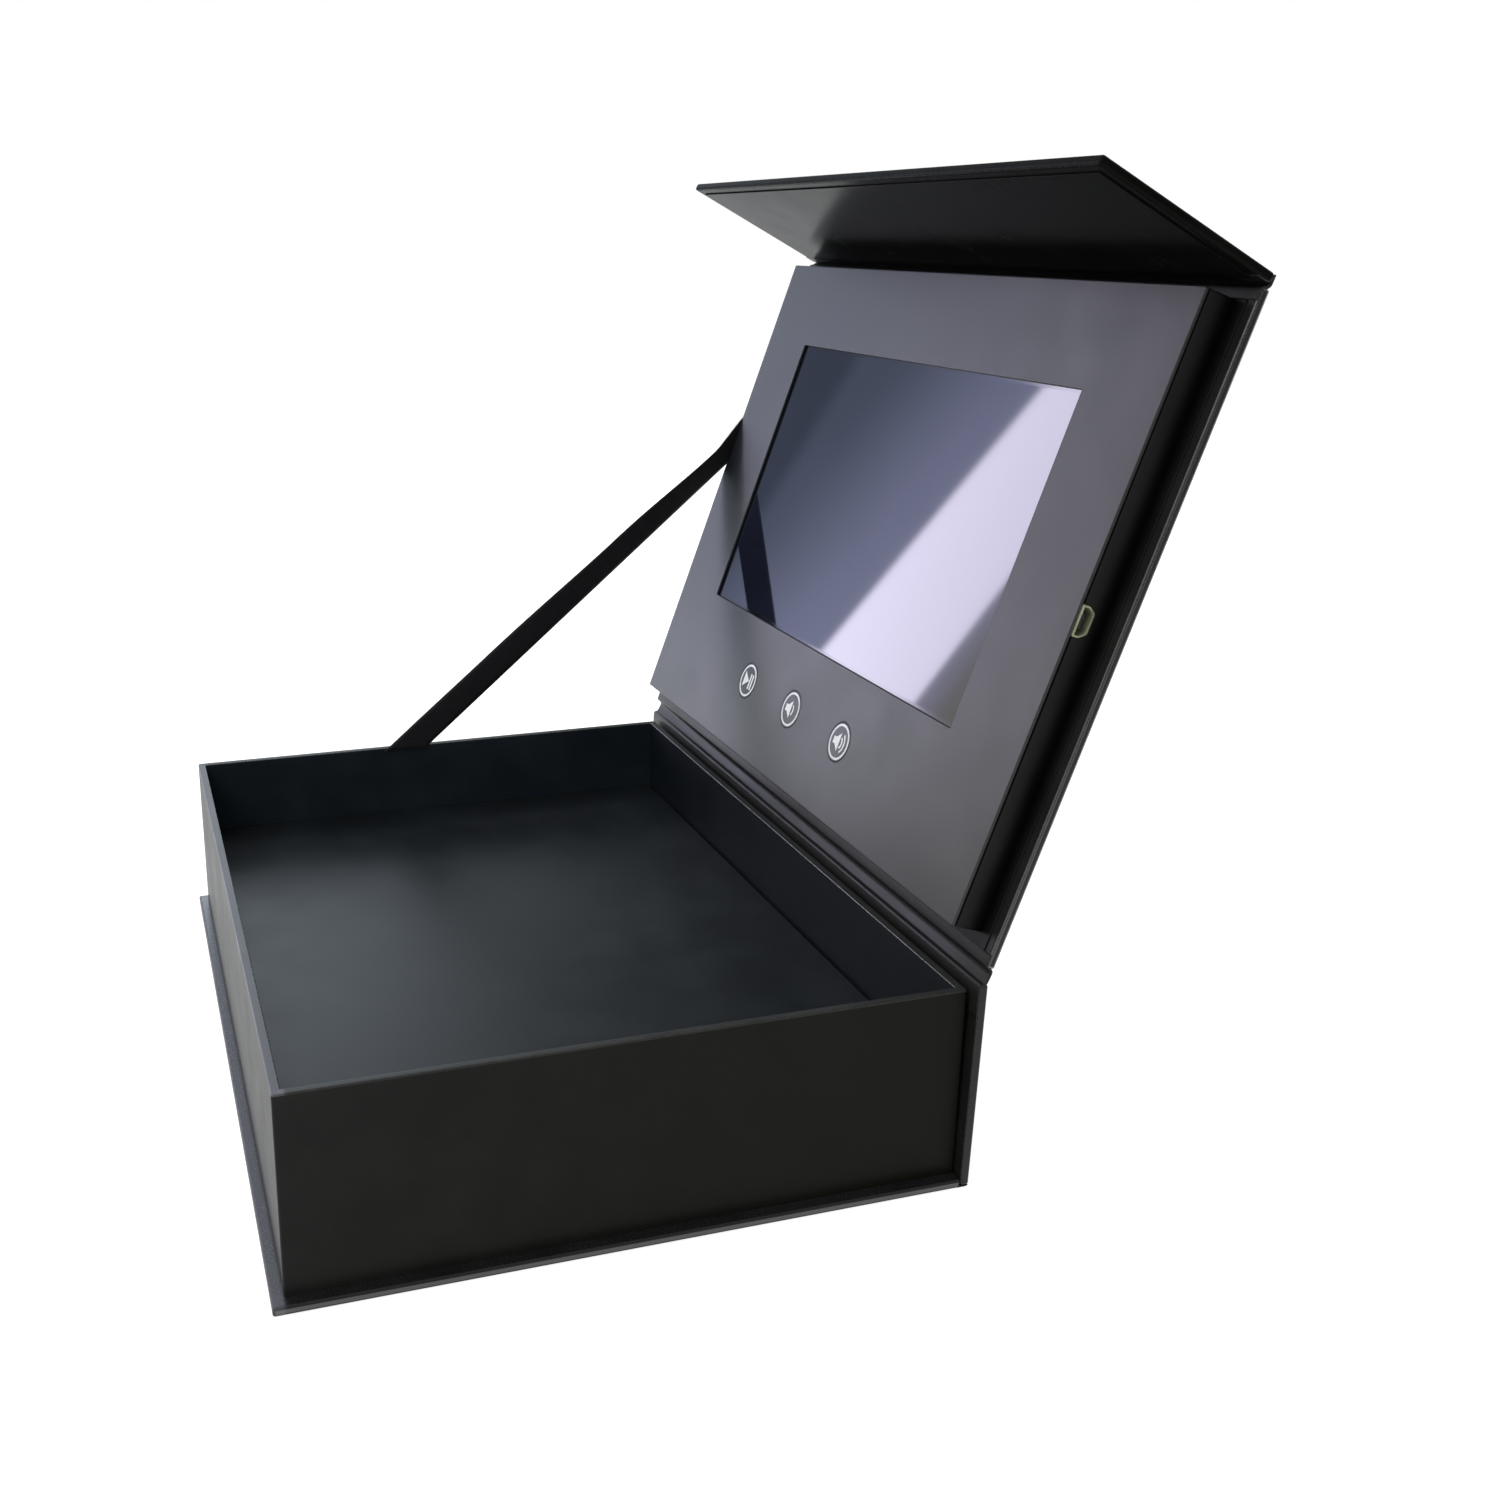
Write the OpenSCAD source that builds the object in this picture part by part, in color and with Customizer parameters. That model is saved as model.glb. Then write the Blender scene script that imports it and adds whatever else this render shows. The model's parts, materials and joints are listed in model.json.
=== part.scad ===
// Rigid presentation box with a screen, keys and a charging socket in its hinged lid.
// X runs along the hinge, Y from the front to the hinge, Z up.
// The origin lies under the middle of the tray, on the underside of the base board.
// The lid is drawn open and the closing flap folded forward.

/* [Tray] */
// Outer width of the tray, along the hinge
tray_w = 219; // [190:1:300]
// Outer depth of the tray, front to back
tray_d = 161.5; // [150:0.5:220]
// Height of the tray walls above the base board
tray_h = 49; // [30:0.5:80]
// Thickness of a tray wall
wall_t = 2; // [1.6:0.1:3]
// Thickness of the tray's floor board
floor_t = 1.6; // [1:0.1:3]
// Depth of the open tray, from the rim down to the lining of its raised floor
recess_d = 23.2; // [18:0.1:25]
// Thickness of the raised floor's card
raised_t = 1.2; // [0.8:0.1:2]
// Gap between the raised floor's card and the walls
raised_gap = 0.3; // [0.2:0.1:0.4]
// Inset of the floor lining from the walls
lining_gap = 0.4; // [0.4:0.1:1]

/* [Case boards] */
// Thickness of the base, spine, lid and flap boards
case_t = 2.2; // [1.8:0.1:3]
// How far the case boards reach past the tray at each side
side_overhang = 3.6; // [2:0.1:6]
// Radius of the wrapped long edges
edge_r = 0.5; // [0.2:0.1:0.8]
// Thickness of the lining sheets
liner_t = 0.4; // [0.3:0.1:0.6]
// Margin of bare wrap around a lining sheet
liner_margin = 3; // [2:0.5:6]
// Width of the sunk crease beside the lid board
groove_w = 3.4; // [3.2:0.1:5]
// Thickness of the wrap in a crease
crease_t = 0.4; // [0.3:0.1:0.5]
// Clearance between crease wrap and the board it folds against
crease_gap = 0.1; // [0.05:0.05:0.2]

/* [Spine and lid] */
// Gap between the rear wall and the foot of the spine board
spine_gap = 0.1; // [0.05:0.05:0.5]
// Backward lean of the spine board, in degrees
spine_lean = 1.2; // [0:0.1:3]
// How far the lid is open, in degrees from closed
lid_open = 109.5; // [95:0.5:120]
// Gap between the rim and the closed lid's lining
rim_gap = 0.3; // [0.2:0.1:1]

/* [Flap] */
// Fold of the flap against the lid, in degrees
flap_fold = 81.5; // [45:0.5:88]
// Gap between the front wall and the closed flap
front_gap = 0.4; // [0.3:0.1:1]
// Gap between the base board and the closed flap's edge
flap_foot_gap = 0.7; // [0.4:0.1:3]
// Diameter of a magnet
magnet_d = 12; // [8:0.5:16]
// Thickness of a magnet
magnet_t = 1.4; // [1:0.1:1.6]
// Distance between the two magnets
magnet_pitch = 150; // [80:1:180]
// Distance of the magnets from the flap's free edge
magnet_edge = 14; // [10:0.5:20]
// Thickness of a steel catch plate
plate_t = 0.8; // [0.5:0.1:1.2]

/* [Screen panel] */
// Thickness of the screen panel on the lid
panel_t = 8.1; // [8:0.1:10]
// Thickness of the face card
face_t = 0.8; // [0.5:0.1:1.2]
// Thickness of the panel's side walls
rail_t = 2; // [1.5:0.1:3]
// Gap between the closed panel and the right wall of the tray
panel_side_gap = 1; // [0.8:0.1:3]
// Gap between the closed panel and the left wall, where the strap hangs
strap_side_gap = 2.3; // [1.6:0.1:4]
// Gap between the closed panel and the front wall
panel_end_gap = 1.3; // [1.2:0.1:4]
// Gap between the closed panel and the rear wall
panel_rear_gap = 4; // [2:0.5:8]

/* [Screen] */
// Border of the panel between the window and the right edge
side_border = 29.5; // [28:0.5:40]
// Height of the window in the face card
window_h = 86; // [70:1:90]
// Distance from the panel's lower edge to the window
window_rise = 40.4; // [39:0.2:44]
// Hidden border of the screen module around the window
screen_border = 6; // [4:0.5:6]
// Thickness of the screen module
screen_t = 4.6; // [4:0.1:5]
// Thickness of the screen glass
glass_t = 1.2; // [0.8:0.1:1.5]
// Sheet thickness of the module's metal frame
frame_t = 0.4; // [0.3:0.1:0.6]
// Width of a foam pad under the screen module or the driver board
foam_w = 12; // [6:0.5:16]

/* [Keys] */
// Diameter of a key's cap
key_d = 11.2; // [9:0.2:13]
// Distance between neighbouring keys
key_pitch = 32; // [24:0.2:36]
// Distance of the middle key from the middle of the window, towards the strap
key_shift = 1.7; // [0:0.1:3]
// Distance from the panel's lower edge to the key centres
key_rise = 21.6; // [18:0.2:23]
// Width of the hidden rim under a cap
key_rim = 1.4; // [1:0.1:2]
// Thickness of the hidden rim under a cap
key_rim_t = 0.6; // [0.4:0.1:0.8]
// Diameter of a key's stem
stem_d = 3.2; // [2:0.1:4]
// Length of the stem between the rim and the switch
stem_l = 1.8; // [1:0.1:2.5]
// How deep the stem sits in the switch
stem_grip = 0.5; // [0.3:0.1:0.8]
// How far a key goes down
key_travel = 0.4; // [0.2:0.1:0.5]
// Side clearance of caps and stems
key_gap = 0.08; // [0.05:0.01:0.1]
// Width of a switch
switch_w = 6; // [5:0.1:7]
// Height of a switch
switch_h = 2.6; // [2.4:0.1:3]

/* [Socket] */
// Outer width of the socket's shell
socket_w = 7.7; // [7:0.1:8.5]
// Outer height of the socket's shell
socket_h = 3.9; // [3.4:0.1:4.1]
// Depth of the socket's shell
socket_depth = 9; // [7:0.1:10]
// Sheet thickness of the socket's shell
socket_wall = 0.35; // [0.3:0.05:0.5]
// Distance from the panel's lower edge to the socket's centre
socket_rise = 76; // [60:1:100]
// How far the socket's rim stands out of the side wall
socket_proud = 0.3; // [0.1:0.1:0.6]
// Gap between the shell and its cut-out
socket_gap = 0.15; // [0.1:0.05:0.4]

/* [Holding strap] */
// Width of the strap
strap_w = 9.2; // [6:0.2:14]
// Thickness of the strap
strap_t = 0.5; // [0.4:0.1:0.8]
// Distance of the strap from the tray's middle, towards the front, at the rim
strap_rim_y = 10; // [0:0.5:30]
// Distance of the strap's upper end from the hinge, along the lid
strap_lid_s = 112; // [80:1:130]
// Length of the strap glued to the tray wall below the rim
strap_tail = 16; // [8:1:24]

/* [Electronics] */
// Thickness of the circuit boards
board_t = 1.2; // [0.8:0.1:1.6]
// Length of the driver board
board_l = 72; // [40:1:80]
// Width of the key board
key_board_h = 12; // [9:0.5:14]
// Gap between the screen module and the driver board or the cell
bay_gap = 3; // [2:0.1:6]
// Gap between a side wall of the panel and the driver board or the cell
pad_gap = 0.4; // [0.3:0.1:1]
// How much the cell is shorter than the window, at each end
cell_inset = 1; // [0:0.5:10]
// Thickness of the cell
cell_t = 4.4; // [3:0.1:5]
// Diameter of the speaker
speaker_d = 22; // [16:0.5:26]
// Thickness of the speaker's basket
speaker_t = 3; // [2:0.1:3.5]
// Distance from the panel's left edge to the speaker's middle
speaker_inset = 29; // [16:0.5:36]
// Width of a two-core lead
lead_w = 1.8; // [1.2:0.1:2.4]
// Thickness of a two-core lead
lead_t = 0.9; // [0.6:0.1:1.2]
// Distance of a lead from the lower edge of the screen module
lead_gap = 1.5; // [1:0.1:2]

/* [Hidden] */
$fn = 64;
floor_z = case_t;
rim_z = case_t + tray_h;
raised_foot = floor_z + floor_t;
raised_h = rim_z - recess_d - liner_t - raised_foot;
case_w = tray_w + 2 * side_overhang;
flap_t = case_t + liner_t;
front_overhang = front_gap + flap_t;
wall_in_x = tray_w / 2 - wall_t;
wall_in_y = tray_d / 2 - wall_t;
base_back = tray_d / 2;
base_front = -tray_d / 2 - front_overhang;

hinge_z = rim_z + rim_gap + liner_t + case_t;
hinge_y = tray_d / 2 + spine_gap + case_t + hinge_z * tan(spine_lean);
spine_top = crease_t + crease_gap;
spine_foot = hinge_z / cos(spine_lean) - crease_t - crease_gap;
lid_l = hinge_y + tray_d / 2 + front_overhang;
flap_l = hinge_z - case_t - flap_foot_gap;
magnet_y = flap_l - magnet_edge;

lid_in = case_t + liner_t;
face_out = lid_in + panel_t;
face_in = face_out - face_t;
panel_x0 = -wall_in_x + strap_side_gap;
panel_x1 = wall_in_x - panel_side_gap;
panel_w = panel_x1 - panel_x0;
panel_mid = (panel_x0 + panel_x1) / 2;
panel_foot = hinge_y - wall_in_y + panel_rear_gap;
panel_top = hinge_y + wall_in_y - panel_end_gap;
panel_l = panel_top - panel_foot;

window_w = 2 * (panel_x1 - side_border);
window_s = panel_foot + window_rise;
screen_w = window_w + 2 * screen_border;
screen_h = window_h + 2 * screen_border;
screen_s = window_s - screen_border;
screen_back = face_in - screen_t;
glass_back = face_in - glass_t;

key_s = panel_foot + key_rise;
key_x = [-key_shift - key_pitch, -key_shift, key_pitch - key_shift];
rim_top = face_in - key_gap;
switch_top = rim_top - key_rim_t - stem_l;
switch_bore = stem_grip + 1.75 * key_travel;
key_board_in = switch_top - switch_h - board_t;
key_board_w = 2 * key_pitch + 2 * switch_w;

socket_s = panel_foot + socket_rise;
socket_mid = face_in - socket_h / 2;
board_in = face_in - socket_h - board_t;
board_x = screen_w / 2 + bay_gap;
board_w = panel_x1 - rail_t - pad_gap - board_x;
board_s = socket_s - 0.42 * board_l;
cell_x = panel_x0 + rail_t + pad_gap;
cell_w = -screen_w / 2 - bay_gap - cell_x;
cell_s = window_s + cell_inset;
cell_l = window_h - 2 * cell_inset;
speaker_x = panel_x0 + speaker_inset;
speaker_can_d = 0.62 * speaker_d;
speaker_can_t = 0.53 * speaker_t;
lead_s = screen_s + lead_gap;
speaker_lead_s = screen_s - lead_gap - lead_w;

strap_x = -wall_in_x;
strap_end = lid_in + 0.3;
strap_top_y = hinge_y + strap_lid_s * cos(lid_tilt()) - strap_end * sin(lid_tilt());
strap_top_z = hinge_z + strap_lid_s * sin(lid_tilt()) + strap_end * cos(lid_tilt());
strap_run = norm([strap_top_y + strap_rim_y, strap_top_z - rim_z]);
strap_slope = atan2(strap_top_z - rim_z, strap_top_y + strap_rim_y);

board_black = "#1d1f23";
wall_black = "#24251f";
liner_black = "#2b2e33";
face_grey = "#4a4e57";
key_white = "#dfe3ea";
glass_blue = "#59617a";
steel_grey = "#a9abb0";
circuit_green = "#1e5a3a";
chip_black = "#17181a";
foam_grey = "#55585c";
cell_silver = "#b9bcc2";
ribbon_black = "#191a1c";
lead_red = "#8a2a25";
socket_gold = "#8f8b6e";

function lid_tilt() = 180 - lid_open;

// Points of a rectangle from [0, 0] to [w, h] with rounded corners
function round_box(w, h, r, steps = 4) = [
    for (c = [[w - r, h - r, 0], [r, h - r, 1], [r, r, 2], [w - r, r, 3]])
        for (i = [0:steps])
            [c[0] + r * cos(90 * (c[2] + i / steps)), c[1] + r * sin(90 * (c[2] + i / steps))]
];

// Lays a profile drawn in Y and Z out along X, centred
module along_x(w) {
    rotate([90, 0, 90]) linear_extrude(height = w, center = true) children();
}

// Board with wrapped round edges: y and z start at 0, centred along X
module wrapped_board(w, l, t) {
    along_x(w) polygon(round_box(l, t, edge_r));
}

// Flat sheet or block centred along X, with y and z from 0
module sheet(w, l, t) {
    translate([-w / 2, 0, 0]) cube([w, l, t]);
}

// Places what is drawn flat, with y up the lid and z towards its inside
module on_lid() {
    translate([0, hinge_y, hinge_z]) rotate([lid_tilt(), 0, 0]) children();
}

// Places what is drawn flat, with y along the flap and z towards its inside
module on_flap() {
    on_lid() translate([0, lid_l, 0]) rotate([flap_fold, 0, 0]) children();
}

// Repeats its children at both magnet places
module at_magnets() {
    for (side = [-1, 1]) translate([side * magnet_pitch / 2, 0, 0]) children();
}

// Tray and base
module base_board() {
    color(board_black) translate([0, base_front, 0]) wrapped_board(case_w, base_back - base_front, case_t);
}

module base_crease() {
    color(board_black) translate([0, base_back, 0]) sheet(case_w, spine_gap + case_t, crease_t - crease_gap / 2);
}

module spine_board() {
    color(board_black)
        translate([0, hinge_y, hinge_z])
            rotate([-spine_lean, 0, 0])
                translate([0, -case_t, -spine_foot])
                    wrapped_board_up(case_w, case_t, spine_foot - spine_top);
}

// Upright board: y across its thickness, z along its height
module wrapped_board_up(w, t, h) {
    along_x(w) polygon(round_box(t, h, edge_r));
}

module tray_floor() {
    color(board_black) translate([0, -wall_in_y, floor_z]) sheet(2 * wall_in_x, 2 * wall_in_y, floor_t);
}

// Raised floor: a card folded down at its four sides, open below
module raised_floor() {
    skin = raised_gap + raised_t;
    color(wall_black) difference() {
        translate([0, -wall_in_y + raised_gap, raised_foot])
            sheet(2 * (wall_in_x - raised_gap), 2 * (wall_in_y - raised_gap), raised_h);
        translate([0, -wall_in_y + skin, raised_foot - raised_t])
            sheet(2 * (wall_in_x - skin), 2 * (wall_in_y - skin), raised_h);
    }
}

// Board on edge that holds the raised floor up along the middle, its ends clear of the folded sides
module floor_rib() {
    color(foam_grey)
        translate([0, -floor_t / 2, raised_foot])
            sheet(2 * (wall_in_x - 2 * raised_gap - raised_t), floor_t, raised_h - raised_t);
}

module floor_lining() {
    color(liner_black)
        translate([0, -wall_in_y + lining_gap, raised_foot + raised_h])
            sheet(2 * (wall_in_x - lining_gap), 2 * (wall_in_y - lining_gap), liner_t);
}

// Wall profile: square foot, rounded rim
module wall_profile() {
    r = min(edge_r, wall_t / 2 - 0.1);
    polygon([
        [0, 0],
        [wall_t, 0],
        for (i = [0:4]) [wall_t - r + r * cos(22.5 * i), tray_h - r + r * sin(22.5 * i)],
        for (i = [0:4]) [r - r * sin(22.5 * i), tray_h - r + r * cos(22.5 * i)]
    ]);
}

module front_wall() {
    color(wall_black) difference() {
        translate([0, -tray_d / 2, floor_z]) along_x(2 * wall_in_x) wall_profile();
        translate([0, -tray_d / 2, hinge_z - magnet_y])
            at_magnets() rotate([90, 0, 0]) cylinder(h = 2 * plate_t, d = magnet_d, center = true);
    }
}

module catch_plates() {
    color(steel_grey)
        translate([0, -tray_d / 2 + plate_t, hinge_z - magnet_y])
            at_magnets() rotate([90, 0, 0]) cylinder(h = plate_t, d = magnet_d);
}

module rear_wall() {
    color(wall_black) translate([0, wall_in_y, floor_z]) along_x(2 * wall_in_x) wall_profile();
}

module side_wall(x) {
    translate([x, 0, floor_z]) rotate([0, 0, 90]) translate([0, -wall_t, 0]) along_x(tray_d) wall_profile();
}

module left_wall() {
    color(wall_black) side_wall(-tray_w / 2);
}

module right_wall() {
    color(wall_black) side_wall(wall_in_x);
}

// Flat strap in the plane of the left wall, its upper end cut along the lid
module strap() {
    cut = strap_w / 2 / tan(lid_tilt() - strap_slope);
    color(ribbon_black)
        translate([strap_x + strap_t / 2, -strap_rim_y, rim_z])
            rotate([strap_slope, 0, 0]) along_x(strap_t) polygon([
                [-strap_tail, -strap_w / 2], [strap_run - cut, -strap_w / 2],
                [strap_run + cut, strap_w / 2], [-strap_tail, strap_w / 2]
            ]);
}

// Lid
module crease_strip() {
    sheet(case_w, groove_w - crease_gap, crease_t);
}

module lid_crease() {
    color(board_black) on_lid() translate([0, crease_gap, 0]) crease_strip();
}

module fold_crease() {
    color(board_black) on_lid() translate([0, lid_l - groove_w, 0]) crease_strip();
}

module lid_board() {
    color(board_black) on_lid() translate([0, groove_w, 0]) wrapped_board(case_w, lid_l - 2 * groove_w, case_t);
}

module lid_liner() {
    liner_s = groove_w + liner_margin;
    color(liner_black)
        on_lid() translate([0, liner_s, case_t]) sheet(case_w - 2 * liner_margin, lid_l - 2 * liner_s, liner_t);
}

// Screen panel
module rail_bar(w, l) {
    sheet(w, l, face_in - lid_in);
}

module panel_rail_left() {
    color(face_grey)
        on_lid() translate([panel_x0 + rail_t / 2, panel_foot, lid_in]) rail_bar(rail_t, panel_l);
}

module panel_rail_right() {
    color(face_grey) on_lid() difference() {
        translate([panel_x1 - rail_t / 2, panel_foot, lid_in]) rail_bar(rail_t, panel_l);
        translate([panel_x1 - 2 * rail_t, socket_s - socket_w / 2 - socket_gap, board_in + board_t - socket_gap])
            cube([3 * rail_t, socket_w + 2 * socket_gap, socket_h + 2 * face_t]);
    }
}

module panel_rail_top() {
    color(face_grey)
        on_lid() translate([panel_mid, panel_top - rail_t, lid_in]) rail_bar(panel_w - 2 * rail_t, rail_t);
}

module panel_rail_bottom() {
    color(face_grey)
        on_lid() translate([panel_mid, panel_foot, lid_in]) rail_bar(panel_w - 2 * rail_t, rail_t);
}

module panel_face() {
    color(face_grey) on_lid() difference() {
        translate([panel_mid, panel_foot, face_in]) sheet(panel_w, panel_l, face_t);
        translate([0, window_s, face_in - face_t]) sheet(window_w, window_h, 3 * face_t);
        for (x = key_x)
            translate([x, key_s, face_in - face_t]) cylinder(h = 3 * face_t, d = key_d + 2 * key_gap);
    }
}

module screen_glass() {
    color(glass_blue)
        on_lid()
            translate([0, screen_s + frame_t, glass_back])
                sheet(screen_w - 2 * frame_t, screen_h - 2 * frame_t, glass_t);
}

module screen_backlight() {
    color(key_white)
        on_lid()
            translate([0, screen_s + frame_t, screen_back + frame_t])
                sheet(screen_w - 2 * frame_t, screen_h - 2 * frame_t, screen_t - glass_t - frame_t);
}

module screen_frame() {
    color(steel_grey) on_lid() translate([0, screen_s, screen_back]) difference() {
        sheet(screen_w, screen_h, screen_t);
        translate([0, frame_t, frame_t]) sheet(screen_w - 2 * frame_t, screen_h - 2 * frame_t, screen_t);
    }
}

module screen_pads() {
    color(foam_grey)
        on_lid() for (share = [0.3, 0.8])
            translate([0, screen_s + share * screen_h - foam_w / 2, lid_in])
                sheet(0.88 * screen_w, foam_w, screen_back - lid_in);
}

module screen_flex() {
    flex_l = bay_gap + 0.28 * board_w;
    color(socket_gold)
        on_lid()
            translate([screen_w / 2, socket_s - 0.22 * board_l, board_in + board_t])
                cube([flex_l, 0.16 * board_l, frame_t / 2]);
}

// Driver board and socket
module driver_board() {
    color(circuit_green) on_lid() translate([board_x, board_s, board_in]) cube([board_w, board_l, board_t]);
}

module chip(x, s, w, l, h) {
    translate([x - w / 2, s - l / 2, board_in + board_t]) cube([w, l, h]);
}

module driver_chips() {
    mid_x = board_x + board_w / 2;
    color(chip_black) on_lid() {
        chip(mid_x, socket_s + 0.22 * board_l, 0.5 * board_w, 0.5 * board_w, 0.9 * board_t);
        chip(mid_x, socket_s + 0.42 * board_l, 0.35 * board_w, 0.28 * board_w, board_t);
        chip(mid_x + 0.17 * board_w, socket_s - 0.28 * board_l, 0.28 * board_w, 0.35 * board_w, 0.85 * board_t);
    }
}

module driver_pads() {
    color(foam_grey)
        on_lid() for (share = [0.3, 0.8])
            translate([board_x + 0.06 * board_w, board_s + share * board_l - foam_w / 2, lid_in])
                cube([0.88 * board_w, foam_w, board_in - lid_in]);
}

// Socket outline: wide on the side towards the face card, narrow and chamfered towards the board
function socket_outline(w, h) = [
    [-w / 2, h / 2], [-w / 2, h / 2 - 0.45 * h], [-w / 2 + 0.16 * w, -h / 2],
    [w / 2 - 0.16 * w, -h / 2], [w / 2, h / 2 - 0.45 * h], [w / 2, h / 2]
];

module in_socket(from_mouth, l) {
    translate([panel_x1 + socket_proud - from_mouth - l / 2, socket_s, socket_mid]) along_x(l) children();
}

module socket_shell() {
    color(socket_gold) on_lid() difference() {
        in_socket(0, socket_depth) polygon(socket_outline(socket_w, socket_h));
        in_socket(-socket_wall, socket_depth)
            polygon(socket_outline(socket_w - 2 * socket_wall, socket_h - 2 * socket_wall));
    }
}

module socket_tongue() {
    tongue_w = 0.5 * socket_w;
    tongue_h = 0.22 * socket_h;
    tongue_inset = 0.13 * socket_depth;
    color(chip_black)
        on_lid()
            in_socket(tongue_inset, socket_depth - tongue_inset - socket_wall)
                translate([-tongue_w / 2, -tongue_h / 2]) square([tongue_w, tongue_h]);
}

// Keys and their switches
module key_board() {
    color(circuit_green)
        on_lid()
            translate([-key_shift, key_s - key_board_h / 2, key_board_in])
                sheet(key_board_w, key_board_h, board_t);
}

module key_switches() {
    color(chip_black) on_lid() for (x = key_x) translate([x, key_s, key_board_in + board_t]) difference() {
        translate([-switch_w / 2, -switch_w / 2, 0]) cube([switch_w, switch_w, switch_h]);
        translate([0, 0, switch_h - switch_bore]) cylinder(h = 2 * switch_bore, d = stem_d + 2 * key_gap);
    }
}

module key_shim() {
    color(foam_grey)
        on_lid()
            translate([-key_shift, key_s - key_board_h / 2, lid_in])
                sheet(key_board_w, key_board_h, key_board_in - lid_in);
}

module key_cap(x) {
    rim_foot = rim_top - key_rim_t;
    on_lid() translate([x, key_s, 0]) {
        translate([0, 0, rim_foot]) cylinder(h = key_rim_t, d = key_d + 2 * key_rim);
        translate([0, 0, rim_foot + key_rim_t / 2]) cylinder(h = face_out - rim_foot - key_rim_t / 2, d = key_d);
        translate([0, 0, switch_top - stem_grip]) cylinder(h = stem_grip + stem_l + key_rim_t / 2, d = stem_d);
    }
}

module play_key() {
    color(key_white) key_cap(key_x[0]);
}

module volume_down_key() {
    color(key_white) key_cap(key_x[1]);
}

module volume_up_key() {
    color(key_white) key_cap(key_x[2]);
}

// Cell and speaker
module cell() {
    color(cell_silver)
        on_lid()
            translate([cell_x, cell_s + cell_l, lid_in])
                rotate([90, 0, 0]) linear_extrude(height = cell_l) polygon(round_box(cell_w, cell_t, 1.2));
}

// Flat two-core lead in three straight runs: down from x1, along, and up to x2
module lead_run(x1, s1, s_mid, x2, s2) {
    translate([0, 0, lid_in]) linear_extrude(height = lead_t) polygon([
        [x1, s1], [x1, s_mid], [x2 + lead_w, s_mid], [x2 + lead_w, s2],
        [x2, s2], [x2, s_mid + lead_w], [x1 + lead_w, s_mid + lead_w], [x1 + lead_w, s1]
    ]);
}

module cell_lead() {
    end_x = board_x + 0.2 * board_w;
    end_s = board_s + 0.11 * board_l;
    color(lead_red) on_lid() {
        lead_run(cell_x + cell_w / 2, cell_s, lead_s, end_x, end_s);
        translate([end_x, end_s - lead_w, lid_in]) cube([lead_w, lead_w, board_in - lid_in]);
    }
}

module speaker() {
    color(chip_black) on_lid() translate([speaker_x, key_s, 0]) {
        translate([0, 0, face_in - speaker_t]) cylinder(h = speaker_t, d = speaker_d);
        translate([0, 0, face_in - speaker_t - speaker_can_t])
            cylinder(h = speaker_can_t + speaker_t / 2, d = speaker_can_d);
    }
}

module speaker_lead() {
    start_x = speaker_x + speaker_d / 2 - lead_w;
    end_x = board_x + 0.5 * board_w;
    end_s = board_s + 0.07 * board_l;
    color(lead_red) on_lid() {
        lead_run_back(start_x, key_s, speaker_lead_s, end_x, end_s);
        translate([start_x, key_s, lid_in]) cube([lead_w, lead_w, face_in - speaker_t - lid_in]);
        translate([end_x, end_s - lead_w, lid_in]) cube([lead_w, lead_w, board_in - lid_in]);
    }
}

// The same lead starting below its long run
module lead_run_back(x1, s1, s_mid, x2, s2) {
    translate([0, 0, lid_in]) linear_extrude(height = lead_t) polygon([
        [x1, s1], [x1 + lead_w, s1], [x1 + lead_w, s_mid], [x2 + lead_w, s_mid],
        [x2 + lead_w, s2], [x2, s2], [x2, s_mid + lead_w], [x1, s_mid + lead_w]
    ]);
}

// Closing flap
module flap_board() {
    color(board_black) on_flap() difference() {
        translate([0, spine_top, 0]) wrapped_board(case_w, flap_l - spine_top, case_t);
        translate([0, magnet_y, case_t]) at_magnets() cylinder(h = 2 * magnet_t, d = magnet_d, center = true);
    }
}

module flap_liner() {
    liner_l = flap_l - spine_top - 2 * liner_margin;
    color(liner_black)
        on_flap() translate([0, spine_top + liner_margin, case_t]) sheet(case_w - 2 * liner_margin, liner_l, liner_t);
}

module flap_magnets() {
    color(steel_grey)
        on_flap() translate([0, magnet_y, case_t - magnet_t]) at_magnets() cylinder(h = magnet_t, d = magnet_d);
}

base_board();
base_crease();
spine_board();
tray_floor();
raised_floor();
floor_rib();
floor_lining();
front_wall();
rear_wall();
left_wall();
right_wall();
catch_plates();
strap();
lid_crease();
lid_board();
lid_liner();
fold_crease();
panel_rail_left();
panel_rail_right();
panel_rail_top();
panel_rail_bottom();
panel_face();
screen_glass();
screen_backlight();
screen_frame();
screen_pads();
screen_flex();
driver_board();
driver_chips();
driver_pads();
socket_shell();
socket_tongue();
key_board();
key_switches();
key_shim();
play_key();
volume_down_key();
volume_up_key();
cell();
cell_lead();
speaker();
speaker_lead();
flap_board();
flap_liner();
flap_magnets();
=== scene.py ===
import json
import math

import bmesh
import bpy
from mathutils import Matrix, Vector

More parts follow.
